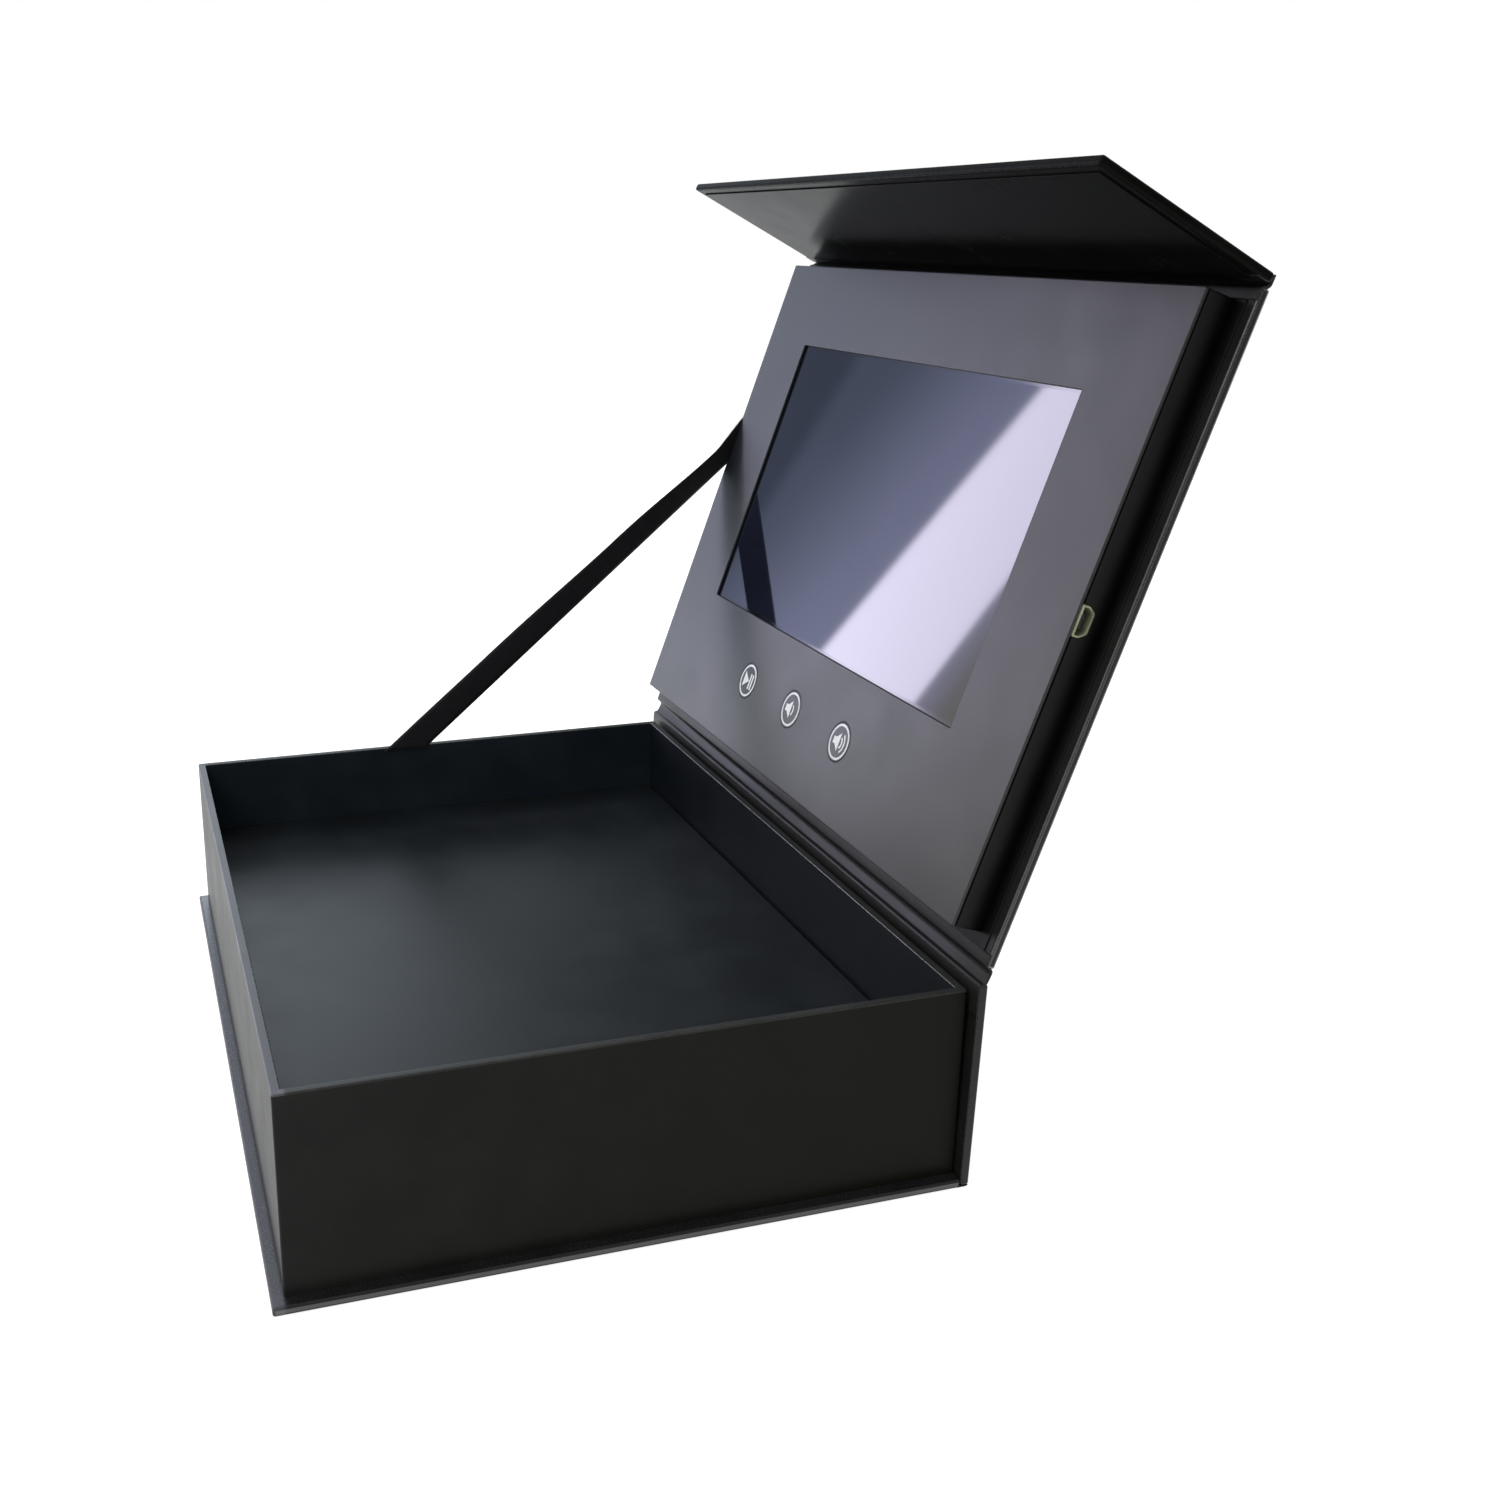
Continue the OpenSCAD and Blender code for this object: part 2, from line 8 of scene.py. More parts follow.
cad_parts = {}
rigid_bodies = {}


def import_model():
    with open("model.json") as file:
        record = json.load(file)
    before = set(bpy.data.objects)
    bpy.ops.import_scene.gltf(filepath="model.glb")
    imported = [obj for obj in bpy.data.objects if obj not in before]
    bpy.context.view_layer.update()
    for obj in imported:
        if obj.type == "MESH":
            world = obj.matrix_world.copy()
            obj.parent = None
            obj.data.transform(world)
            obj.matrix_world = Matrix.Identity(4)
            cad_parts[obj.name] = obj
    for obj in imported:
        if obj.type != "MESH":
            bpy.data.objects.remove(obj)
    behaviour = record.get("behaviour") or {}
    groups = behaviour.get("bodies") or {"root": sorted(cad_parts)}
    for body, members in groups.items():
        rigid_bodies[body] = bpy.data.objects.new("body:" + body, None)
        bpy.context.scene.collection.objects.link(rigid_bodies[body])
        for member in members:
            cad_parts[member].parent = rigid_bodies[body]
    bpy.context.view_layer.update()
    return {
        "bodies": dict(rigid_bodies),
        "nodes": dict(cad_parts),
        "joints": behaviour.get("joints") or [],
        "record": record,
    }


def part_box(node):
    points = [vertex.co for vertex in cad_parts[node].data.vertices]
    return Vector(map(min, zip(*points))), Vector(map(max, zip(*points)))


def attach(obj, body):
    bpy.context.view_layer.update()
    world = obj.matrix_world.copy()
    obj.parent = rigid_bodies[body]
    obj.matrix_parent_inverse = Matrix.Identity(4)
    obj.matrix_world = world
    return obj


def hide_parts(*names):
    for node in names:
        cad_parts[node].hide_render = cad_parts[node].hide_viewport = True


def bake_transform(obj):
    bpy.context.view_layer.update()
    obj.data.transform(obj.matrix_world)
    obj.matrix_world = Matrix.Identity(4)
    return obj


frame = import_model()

mm = 0.001

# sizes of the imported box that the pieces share, in millimetres
box = {
    "trayWidth": 219, "trayDepth": 161.5, "trayHeight": 49, "wall": 2,
    "board": 2.2, "overhang": 3.6, "liner": 0.4, "margin": 3, "groove": 3.4,
    "spineLean": 1.2, "lidOpen": 109.5, "flapFold": 81.5, "flapLength": 51.2,
    "panelBack": 2.6, "panelFace": 10.7, "faceCard": 0.8, "rail": 2,
    "panelSideGap": 1.0, "strapSideGap": 2.3, "panelRearGap": 4, "panelFrontGap": 1.3,
}
caseHalf = box["trayWidth"] / 2 + box["overhang"]
rimZ = box["board"] + box["trayHeight"]
wallInX = box["trayWidth"] / 2 - box["wall"]
wallInY = box["trayDepth"] / 2 - box["wall"]
panelX0 = -wallInX + box["strapSideGap"]
panelX1 = wallInX - box["panelSideGap"]

jointPlace = {j["name"]: Vector(j["pos_m"]) for j in frame["joints"] if "pos_m" in j}
hinge = jointPlace["lid_hinge"] / mm
lidLength = (jointPlace["flap_hinge"] / mm - hinge).length
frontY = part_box("base_board")[0].y / mm


def turnX(degrees):
    return Matrix.Rotation(math.radians(degrees), 4, "X")


# each of these turns flat millimetre drawings into places in the part's frame
asDrawn = Matrix.Scale(mm, 4)
onLid = asDrawn @ Matrix.Translation(hinge) @ turnX(180 - box["lidOpen"])
onFlap = onLid @ Matrix.Translation((0, lidLength, 0)) @ turnX(box["flapFold"])
onSpine = asDrawn @ Matrix.Translation(hinge) @ turnX(-box["spineLean"])
lidNormal = (onLid.to_3x3() @ Vector((0, 0, 1))).normalized()
panelFoot = hinge.y - wallInY + box["panelRearGap"]
panelTop = hinge.y + wallInY - box["panelFrontGap"]


class Wire:
    # a node's output that can be used in sums as a number can
    def __init__(self, tree, socket=None):
        self.tree = tree
        self.socket = socket

    def node(self, kind, settings=None, sockets=None, out=0):
        made = self.tree.nodes.new(kind)
        for key, value in (settings or {}).items():
            setattr(made, key, value)
        for key, value in (sockets or {}).items():
            if isinstance(value, Wire):
                self.tree.links.new(value.socket, made.inputs[key])
            else:
                made.inputs[key].default_value = value
        return Wire(self.tree, made.outputs[out] if len(made.outputs) else None)

    def math(self, operation, *values):
        return self.node("ShaderNodeMath", {"operation": operation}, dict(enumerate(values)))

    def __add__(self, other):
        return self.math("ADD", self, other)

    def __sub__(self, other):
        return self.math("SUBTRACT", self, other)

    def __rsub__(self, other):
        return self.math("SUBTRACT", other, self)

    def __mul__(self, other):
        return self.math("MULTIPLY", self, other)

    def __truediv__(self, other):
        return self.math("DIVIDE", self, other)

    def __rtruediv__(self, other):
        return self.math("DIVIDE", other, self)

    def __gt__(self, other):
        return self.math("GREATER_THAN", self, other)

    def __lt__(self, other):
        return self.math("LESS_THAN", self, other)

    __radd__ = __add__
    __rmul__ = __mul__

    def sin(self):
        return self.math("SINE", self)

    def abs(self):
        return self.math("ABSOLUTE", self)

    def step(self, low, high, soft="SMOOTHSTEP"):
        return self.node("ShaderNodeMapRange", {"interpolation_type": soft}, {0: self, 1: low, 2: high})

    def tint(self, dark, light, how="MIX"):
        settings = {"data_type": "RGBA", "blend_type": how}
        return self.node("ShaderNodeMix", settings, {0: self, 6: dark, 7: light}, out=2)


def newMaterial(name):
    material = bpy.data.materials.new(name)
    material.use_nodes = True
    material.node_tree.nodes.clear()
    wire = Wire(material.node_tree)
    place = wire.node("ShaderNodeTexCoord", out=3)
    return material, wire, place


def noiseAt(place, scale, detail=3.0, rough=0.5, stretch=None):
    if stretch:
        place = place.node("ShaderNodeMapping", {}, {"Vector": place, "Scale": stretch})
    sockets = {"Vector": place, "Scale": scale, "Detail": detail, "Roughness": rough}
    return place.node("ShaderNodeTexNoise", {"noise_dimensions": "3D"}, sockets)


def bumpOf(height, strength, distance):
    sockets = {"Height": height, "Strength": strength, "Distance": distance}
    return height.node("ShaderNodeBump", {}, sockets)


def finishMaterial(wire, values):
    shader = wire.node("ShaderNodeBsdfPrincipled", {}, values)
    wire.node("ShaderNodeOutputMaterial", {}, {"Surface": shader})


def rgb(r, g, b):
    return (r, g, b, 1.0)


# paper and card: tones, roughness and shine; a painted fade of tone is (axis, from, to, tone) in metres,
# painted shade on some sheets and a painted highlight on others
paperLook = {
    "caseWrap": {"dark": rgb(0.0085, 0.0085, 0.0084), "light": rgb(0.0130, 0.0130, 0.0122),
                 "rough": 0.40, "shine": 0.27},
    # the lid margin is painted near black inside the panel's walls, painted shade
    "lidMargin": {"dark": rgb(0.0085, 0.0085, 0.0084), "light": rgb(0.0130, 0.0130, 0.0122),
                  "rough": 0.40, "shine": 0.20,
                  "paintedFade": (0, 0.1120, 0.1074, rgb(0.0006, 0.0006, 0.0006)), "bothSides": True},
    # the rim's front part is painted lighter, a painted highlight along the front wall
    "rimWrap": {"dark": rgb(0.0155, 0.0158, 0.0150), "light": rgb(0.0225, 0.0230, 0.0212),
                "rough": 0.34, "shine": 0.3, "paintedFade": (1, -0.0776, -0.0784, rgb(0.085, 0.087, 0.098))},
    # the base board's front edge is painted lighter, a painted highlight
    "baseWrap": {"dark": rgb(0.0100, 0.0102, 0.0108), "light": rgb(0.0160, 0.0163, 0.0170),
                 "rough": 0.27, "shine": 1.0, "paintedFade": (1, -0.0805, -0.0815, rgb(0.075, 0.077, 0.088))},
    # the walls' outside is painted darker and more olive towards the back, painted shade
    "trayWrap": {"dark": rgb(0.0155, 0.0158, 0.0150), "light": rgb(0.0225, 0.0230, 0.0212),
                 "rough": 0.38, "shine": 0.07, "paintedFade": (1, -0.09, 0.10, rgb(0.0078, 0.0084, 0.0048))},
    "innerWall": {"dark": rgb(0.0042, 0.0060, 0.0082), "light": rgb(0.0068, 0.0094, 0.0122),
                  "rough": 0.48, "shine": 0.20},
    # a lighter, bluer copy of the inner wall paper for the far wall, painted light
    "farWallLit": {"dark": rgb(0.0120, 0.0180, 0.0250), "light": rgb(0.0190, 0.0280, 0.0370),
                "rough": 0.48, "shine": 0.20},
    "flapPaper": {"dark": rgb(0.0048, 0.0048, 0.0044), "light": rgb(0.0074, 0.0074, 0.0068),
                  "rough": 0.24, "shine": 0.018},
    # near-black card for the raised floor, also painted shade on the strip below the panel's front card
    "blackCardAndShade": {"dark": rgb(0.0016, 0.0016, 0.0018), "light": rgb(0.0030, 0.0030, 0.0034),
                  "rough": 0.60, "shine": 0.08},
    "liningPaper": {"dark": rgb(0.0042, 0.0056, 0.0070), "light": rgb(0.0070, 0.0093, 0.0114),
                    "rough": 0.36, "shine": 0.50},
    # the front card is painted darker and less blue towards the right, painted shade
    "panelCard": {"dark": rgb(0.0108, 0.0130, 0.0162), "light": rgb(0.0162, 0.0192, 0.0234),
                  "rough": 0.36, "shine": 0.50, "paintedFade": (0, -0.030, 0.105, rgb(0.0118, 0.0108, 0.0086))},
    # the panel's sides are painted near black towards the lid, painted shade
    "panelSide": {"dark": rgb(0.0085, 0.0085, 0.0085), "light": rgb(0.0135, 0.0135, 0.0132),
                  "rough": 0.42, "shine": 0.16, "sunk": (3.4, 7.2, rgb(0.0008, 0.0008, 0.0008))},
}
# noise scales per metre, shares and heights that all papers have in common
paperGrain = {
    "felt": 2600, "cloud": 55, "fibre": 900, "cloudShare": 0.65, "toneSpan": (0.35, 0.68),
    "cloudRough": 0.14, "feltRough": 0.10, "feltRelief": 0.55, "relief": 0.16, "depth": 0.00010,
    "scuff": 1300, "scuffSpan": (0.30, 0.75), "scuffRough": 0.08, "bareGain": 3.0, "bareLift": 0.012,
}


def paperMaterial(kind, name=None, worn=0.0, polish=None):
    # worn edges are scuffed, and polish gives a rubbed edge its own roughness and shine
    look, g = paperLook[kind], paperGrain
    baseRough, shine = polish or (look["rough"], look["shine"])
    material, wire, place = newMaterial(name or kind)
    felt = noiseAt(place, g["felt"], 4, 0.6)  # about 0.4 mm
    cloudy = noiseAt(place, g["cloud"], 3, 0.55)  # slow change of the glued sheet
    fibre = noiseAt(place, g["fibre"], 2, 0.5, (1, 0.25, 1))
    tone = (cloudy * g["cloudShare"] + felt * (1 - g["cloudShare"])).step(*g["toneSpan"])
    colour = tone.tint(look["dark"], look["light"])
    if "sunk" in look:
        # painted shade: darker in the fold where the panel meets the lid
        low, high, paintedTone = look["sunk"]
        dot = {"operation": "DOT_PRODUCT"}
        above = place.node("ShaderNodeVectorMath", dot, {0: place, 1: lidNormal}, out=1)
        above = above - (onLid @ Vector((0, 0, 0))).dot(lidNormal)
        colour = above.step(high * mm, low * mm).tint(colour, paintedTone)
    if "paintedFade" in look:
        # painted shade and painted highlight: the sheet's tone changes towards one end, or towards both
        axis, low, high, paintedTone = look["paintedFade"]
        share = place.node("ShaderNodeSeparateXYZ", {}, {0: place}, out=axis)
        if look.get("bothSides"):
            share = share.abs()
        colour = share.step(low, high, "LINEAR").tint(colour, paintedTone)
    rough = baseRough + (cloudy - 0.5) * g["cloudRough"] + (felt - 0.5) * g["feltRough"]
    height = felt * g["feltRelief"] + fibre * (1 - g["feltRelief"])
    if worn:
        scuffs = noiseAt(place, g["scuff"], 4, 0.7).step(*g["scuffSpan"])
        bare = rgb(*(min(1.0, c * g["bareGain"] + g["bareLift"]) for c in look["light"][:3]))
        colour = (scuffs * worn).tint(colour, bare)
        rough = rough + scuffs * g["scuffRough"]
    finishMaterial(wire, {
        "Base Color": colour, "Roughness": rough, "Specular IOR Level": shine,
        "Normal": bumpOf(height, g["relief"], g["depth"]),
    })
    return material


# what metal, plastic, foam and board have in common
plainGrain = {"slower": 12, "share": 0.5, "toneSpan": (0.3, 0.7), "rough": 0.18, "depth": 0.00008}


def plainMaterial(name, dark, light, rough, scale=700, metal=0.0, shine=0.5, relief=0.1, stretch=None):
    # fine grain over a slow change of tone
    g = plainGrain
    material, wire, place = newMaterial(name)
    grain = noiseAt(place, scale, 4, 0.6, stretch)
    slow = noiseAt(place, scale / g["slower"], 2, 0.5)
    tone = (grain * g["share"] + slow * (1 - g["share"])).step(*g["toneSpan"])
    finishMaterial(wire, {
        "Base Color": tone.tint(dark, light), "Roughness": rough + (grain - 0.5) * g["rough"],
        "Metallic": metal, "Specular IOR Level": shine, "Normal": bumpOf(grain, relief, g["depth"]),
    })
    return material


caseWrap = paperMaterial("caseWrap")
caseWrapEdge = paperMaterial("caseWrap", "caseWrapEdge", worn=0.6)
caseWrapRubbed = paperMaterial("caseWrap", "caseWrapRubbed", worn=0.5, polish=(0.24, 0.9))
baseWrap = paperMaterial("baseWrap")
baseWrapEdge = paperMaterial("baseWrap", "baseWrapEdge", worn=0.08, polish=(0.42, 0.25))
lidMargin = paperMaterial("lidMargin")
trayWrap = paperMaterial("trayWrap")
trayRim = paperMaterial("rimWrap", "trayRim", worn=0.2)
trayRimLine = paperMaterial("trayWrap", "trayRimLine", worn=0.7, polish=(0.24, 1.0))
innerWall = paperMaterial("innerWall")
farWallLit = paperMaterial("farWallLit")
flapPaper = paperMaterial("flapPaper")
flapPaperEdge = paperMaterial("flapPaper", "flapPaperEdge", worn=0.15)
blackCardAndShade = paperMaterial("blackCardAndShade")
blackCardEdge = paperMaterial("blackCardAndShade", "blackCardEdge", worn=0.2)
liningPaper = paperMaterial("liningPaper")
liningPaperEdge = paperMaterial("liningPaper", "liningPaperEdge", worn=0.5)
panelCard = paperMaterial("panelCard")
panelCardEdge = paperMaterial("panelCard", "panelCardEdge", worn=0.35)
panelSide = paperMaterial("panelSide")
# a pale finish that paints a highlight on the lid's outer side edges
lidEdgeHighlight = plainMaterial(
    "lidEdgeHighlight", rgb(0.120, 0.128, 0.142), rgb(0.22, 0.23, 0.25), 0.26, 1500, shine=0.9, relief=0.3)
greyBoard = plainMaterial(
    "greyBoard", rgb(0.23, 0.21, 0.19), rgb(0.36, 0.34, 0.31), 0.85, 900, shine=0.25)
socketMetal = plainMaterial(
    "socketMetal", rgb(0.30, 0.31, 0.20), rgb(0.46, 0.47, 0.32), 0.36, 1800, metal=0.45)
contactGold = plainMaterial(
    "contactGold", rgb(0.62, 0.43, 0.14), rgb(0.80, 0.58, 0.24), 0.26, 2500, metal=1.0)
blackPlastic = plainMaterial(
    "blackPlastic", rgb(0.010, 0.010, 0.011), rgb(0.020, 0.020, 0.021), 0.46, 1400)
plateSteel = plainMaterial(
    "plateSteel", rgb(0.42, 0.43, 0.45), rgb(0.60, 0.61, 0.63), 0.38, 500, metal=1.0, stretch=(1, 12, 1))
magnetNickel = plainMaterial(
    "magnetNickel", rgb(0.56, 0.56, 0.57), rgb(0.72, 0.71, 0.70), 0.18, 900, metal=1.0)
foamGrey = plainMaterial(
    "foamGrey", rgb(0.045, 0.046, 0.048), rgb(0.10, 0.10, 0.105), 0.9, 1900, shine=0.2, relief=0.6)
lightGuide = plainMaterial(
    "lightGuide", rgb(0.66, 0.70, 0.74), rgb(0.82, 0.84, 0.87), 0.22, 300)
flexFilm = plainMaterial(
    "flexFilm", rgb(0.42, 0.22, 0.05), rgb(0.58, 0.33, 0.09), 0.32, 1100, stretch=(1, 9, 1))
cellFoil = plainMaterial(
    "cellFoil", rgb(0.48, 0.49, 0.51), rgb(0.66, 0.67, 0.69), 0.30, 700, metal=0.9, relief=0.3)
leadRubber = plainMaterial(
    "leadRubber", rgb(0.26, 0.022, 0.016), rgb(0.36, 0.040, 0.030), 0.5, 1300)


# copper tracks under a green mask
trackLook = {
    "scale": 260.0, "distortion": 3.0, "detail": 1.0, "span": (0.62, 0.70), "rough": 0.30, "trackRough": 0.08,
    "dark": rgb(0.008, 0.062, 0.028), "light": rgb(0.020, 0.125, 0.060), "relief": 0.3, "depth": 0.00004,
}


def solderMaskMaterial():
    look = trackLook
    material, wire, place = newMaterial("solderMask")
    bands = {"wave_type": "BANDS", "bands_direction": "X"}
    tracks = place.node("ShaderNodeTexWave", bands, {
        "Vector": place, "Scale": look["scale"], "Distortion": look["distortion"], "Detail": look["detail"],
    }).step(*look["span"])
    finishMaterial(wire, {
        "Base Color": tracks.tint(look["dark"], look["light"]),
        "Roughness": look["rough"] + tracks * look["trackRough"],
        "Normal": bumpOf(tracks, look["relief"], look["depth"]),
    })
    return material


glassLook = {
    "haze": 26, "hazeSpan": (0.3, 0.7), "specks": 1500, "speckSpan": (0.55, 0.8), "shine": 0.5,
    "dark": rgb(0.008, 0.010, 0.019), "light": rgb(0.012, 0.014, 0.027),
    "rough": 0.024, "hazeRough": 0.016, "speckRough": 0.01,
}


def glassMaterial():
    look = glassLook
    material, wire, place = newMaterial("screenGlass")
    haze = noiseAt(place, look["haze"], 2, 0.5)
    specks = noiseAt(place, look["specks"], 2, 0.5).step(*look["speckSpan"])
    colour = haze.step(*look["hazeSpan"]).tint(look["dark"], look["light"])
    rough = look["rough"] + haze * look["hazeRough"] + specks * look["speckRough"]
    finishMaterial(wire, {"Base Color": colour, "Roughness": rough, "Specular IOR Level": look["shine"]})
    return material


# prints on the glass and on the keys
borderLook = {"grain": 1800, "dark": rgb(0.004, 0.004, 0.005), "light": rgb(0.007, 0.007, 0.009),
              "rough": 0.06, "grainRough": 0.03}
inkLook = {"grain": 2400, "span": (0.25, 0.7), "dark": rgb(0.80, 0.81, 0.84), "light": rgb(0.95, 0.955, 0.97),
           "rough": 0.42, "grainRough": 0.12, "relief": 0.05, "depth": 0.00003}


def borderMaterial():
    look = borderLook
    material, wire, place = newMaterial("glassBorder")
    grain = noiseAt(place, look["grain"], 2, 0.5)
    colour = grain.tint(look["dark"], look["light"])
    finishMaterial(wire, {"Base Color": colour, "Roughness": look["rough"] + grain * look["grainRough"]})
    return material


def inkMaterial():
    look = inkLook
    material, wire, place = newMaterial("signInk")
    grain = noiseAt(place, look["grain"], 3, 0.6)
    finishMaterial(wire, {
        "Base Color": grain.step(*look["span"]).tint(look["dark"], look["light"]),
        "Roughness": look["rough"] + grain * look["grainRough"],
        "Normal": bumpOf(grain, look["relief"], look["depth"]),
    })
    return material


# turns of the weave's waves per metre along the ribbon, and over its width
ribbonWeave = {
    "weft": 8400.0, "warp": 150.0, "weftShare": 0.65, "fuzz": 2200, "fuzzShare": 0.3, "toneSpan": (0.25, 0.8),
    "rough": 0.52, "fuzzRough": 0.2, "shine": 0.35, "sheen": 0.25, "sheenRough": 0.4,
    "relief": 0.5, "depth": 0.00012,
}


def ribbonMaterial(name, dark, light):
    # along holds the distance along the ribbon and across the share of its width
    w = ribbonWeave
    material, wire, place = newMaterial(name)
    along, across = (place.node("ShaderNodeAttribute", {"attribute_name": layer}, out=2)
                     for layer in ("along", "across"))
    weft = (along * w["weft"]).sin() * 0.5 + 0.5
    warp = (across * w["warp"]).sin() * 0.5 + 0.5
    weave = weft * w["weftShare"] + warp * (1 - w["weftShare"])
    fuzz = noiseAt(place, w["fuzz"], 3, 0.6)
    tone = (weave * (1 - w["fuzzShare"]) + fuzz * w["fuzzShare"]).step(*w["toneSpan"])
    finishMaterial(wire, {
        "Base Color": tone.tint(dark, light), "Roughness": w["rough"] + fuzz * w["fuzzRough"],
        "Specular IOR Level": w["shine"], "Sheen Weight": w["sheen"], "Sheen Roughness": w["sheenRough"],
        "Normal": bumpOf(weave, w["relief"], w["depth"]),
    })
    return material


solderMask = solderMaskMaterial()
screenGlass = glassMaterial()
glassBorder = borderMaterial()
signInk = inkMaterial()
ribbonBody = ribbonMaterial("ribbonBody", rgb(0.0070, 0.0068, 0.0090), rgb(0.0170, 0.0165, 0.0215))
ribbonSelvedge = ribbonMaterial("ribbonSelvedge", rgb(0.014, 0.014, 0.016), rgb(0.040, 0.039, 0.044))
print("finishes ready")


def addPiece(name, shape, materials, place=None):
    # a bmesh in millimetres becomes an object whose place is in its mesh
    shape.transform(place if place is not None else asDrawn)
    bmesh.ops.recalc_face_normals(shape, faces=shape.faces[:])
    mesh = bpy.data.meshes.new(name)
    shape.to_mesh(mesh)
    shape.free()
    piece = bpy.data.objects.new(name, mesh)
    bpy.context.scene.collection.objects.link(piece)
    for material in materials:
        mesh.materials.append(material)
    return piece


def settle(piece):
    # applies the modifiers, so that the evaluated mesh is the piece
    bpy.context.view_layer.update()
    graph = bpy.context.evaluated_depsgraph_get()
    mesh = bpy.data.meshes.new_from_object(
        piece.evaluated_get(graph), preserve_all_data_layers=True, depsgraph=graph)
    mesh.name = piece.name
    piece.modifiers.clear()
    old = piece.data
    piece.data = mesh
    if old.users == 0:
        bpy.data.meshes.remove(old)
    return piece


def soften(piece, angle=40):
    # rounded edges shade smooth while the wide faces stay flat
    piece.data.shade_smooth()
    piece.data.set_sharp_from_angle(angle=math.radians(angle))
    flat = piece.modifiers.new("flat faces", "WEIGHTED_NORMAL")
    flat.keep_sharp = True
    flat.weight = 100
    return settle(piece)


def softBlock(low, high, radius, segments=4, edgeSlot=1):
    # a block between two corners, with rounded edges in a material slot of their own
    shape = bmesh.new()
    bmesh.ops.create_cube(shape, size=1)
    for vert in shape.verts:
        vert.co = Vector([low[i] + (vert.co[i] + 0.5) * (high[i] - low[i]) for i in range(3)])
    bmesh.ops.bevel(shape, geom=shape.edges[:], offset=radius, offset_type="OFFSET", segments=segments,
                    profile=0.5, affect="EDGES", material=edgeSlot, clamp_overlap=True)
    return shape


def joined(*shapes):
    # several shapes as the loose shells of one
    whole = bmesh.new()
    for shape in shapes:
        spare = bpy.data.meshes.new("spare")
        shape.to_mesh(spare)
        shape.free()
        whole.from_mesh(spare)
        bpy.data.meshes.remove(spare)
    return whole


def paint(shape, slot):
    for face in shape.faces:
        face.material_index = slot


def shapeOf(piece):
    # the mesh of a helper piece, which is dropped
    shape = bmesh.new()
    shape.from_mesh(piece.data)
    bpy.data.objects.remove(piece)
    return shape


def loft(shape, rings):
    # faces between closed rings of vertices
    count = len(rings[0])
    for a, b in zip(rings, rings[1:]):
        for i in range(count):
            j = (i + 1) % count
            shape.faces.new((a[i], a[j], b[j], b[i]))


def closedBand(shape, rings):
    # rings that run along one side of a band and back along the other, closed at both ends
    loft(shape, rings)
    count = len(rings[0])
    for i in range(count // 2 - 1):
        corners = (i, i + 1, count - 2 - i, count - 1 - i)
        shape.faces.new([rings[0][k] for k in corners])
        shape.faces.new([rings[-1][k] for k in reversed(corners)])
    for face in shape.faces:
        face.smooth = True


def prism(points, low, high):
    # a flat outline in x and y raised from low to high
    shape = bmesh.new()
    rings = [[shape.verts.new((x, y, z)) for x, y in points] for z in (low, high)]
    shape.faces.new(rings[0][::-1])
    shape.faces.new(rings[1])
    loft(shape, rings)
    return shape


# the wrap's flaps on a board's inner face: paper, gap at the mitres, and set back from the edge
wrapFlaps = {"thin": 0.14, "gap": 0.06, "setBack": 0.25, "proud": 0.05}


def turnIns(width, length, depth, top):
    # four flaps turned in round the board, mitred at the corners
    gap, half = wrapFlaps["gap"], width / 2 - wrapFlaps["setBack"]
    near, far = wrapFlaps["setBack"], length - wrapFlaps["setBack"]
    inner, low, high = half - depth, near + depth, far - depth
    strips = [
        [(-half + gap, near), (half - gap, near), (inner - gap, low), (-inner + gap, low)],
        [(half - gap, far), (-half + gap, far), (-inner + gap, high), (inner - gap, high)],
        [(-half, far - gap), (-half, near + gap), (-inner, low + gap), (-inner, high - gap)],
        [(half, near + gap), (half, far - gap), (inner, high - gap), (inner, low + gap)],
    ]
    return [prism(points, top - wrapFlaps["thin"], top) for points in strips]


def finishSet(piece, body, slotName, *nodes):
    # the piece stands in for its nodes and moves with its body
    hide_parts(*nodes)
    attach(piece, body)


# camera in metres; the photo's middle and lens are in pixels of its own frame
view = {
    "place": (0.40222, -0.10305, 0.22272),
    "right": (0.28279466, 0.959172, -0.0040328), "down": (0.27525909, -0.08518135, -0.95758894),
    "ahead": (-0.91883601, 0.26969097, -0.28810964),
    "lens": 37.687, "sensor": 36, "shift": (0.12331, -0.03367), "clip": (0.01, 40),
    "photoMiddle": (565.03, 699.50), "photoLens": 1570.28,
}
camera = bpy.data.objects.new("camera", bpy.data.cameras.new("camera"))
bpy.context.scene.collection.objects.link(camera)
camera.data.sensor_width, camera.data.lens = view["sensor"], view["lens"]
camera.data.shift_x, camera.data.shift_y = view["shift"]
camera.data.clip_start, camera.data.clip_end = view["clip"]
right, down, ahead = (Vector(view[k]).normalized() for k in ("right", "down", "ahead"))
camera.matrix_world = Matrix.Translation(view["place"]) @ Matrix((right, -down, -ahead)).transposed().to_4x4()
bpy.context.scene.camera = camera
bpy.context.scene.view_settings.view_transform = "Standard"

studio = {"floorSize": 16.0, "floorPlain": 0.8, "floorGlow": 0.79, "floorGrey": 0.50, "worldDiffuse": 0.44}


def seenRays(wire):
    # 1 for camera, glossy and transmission rays
    camera, glossy, through = (wire.node("ShaderNodeLightPath", out=i) for i in (0, 3, 6))
    either = camera.math("MAXIMUM", camera, glossy)
    return either.math("MAXIMUM", either, through)


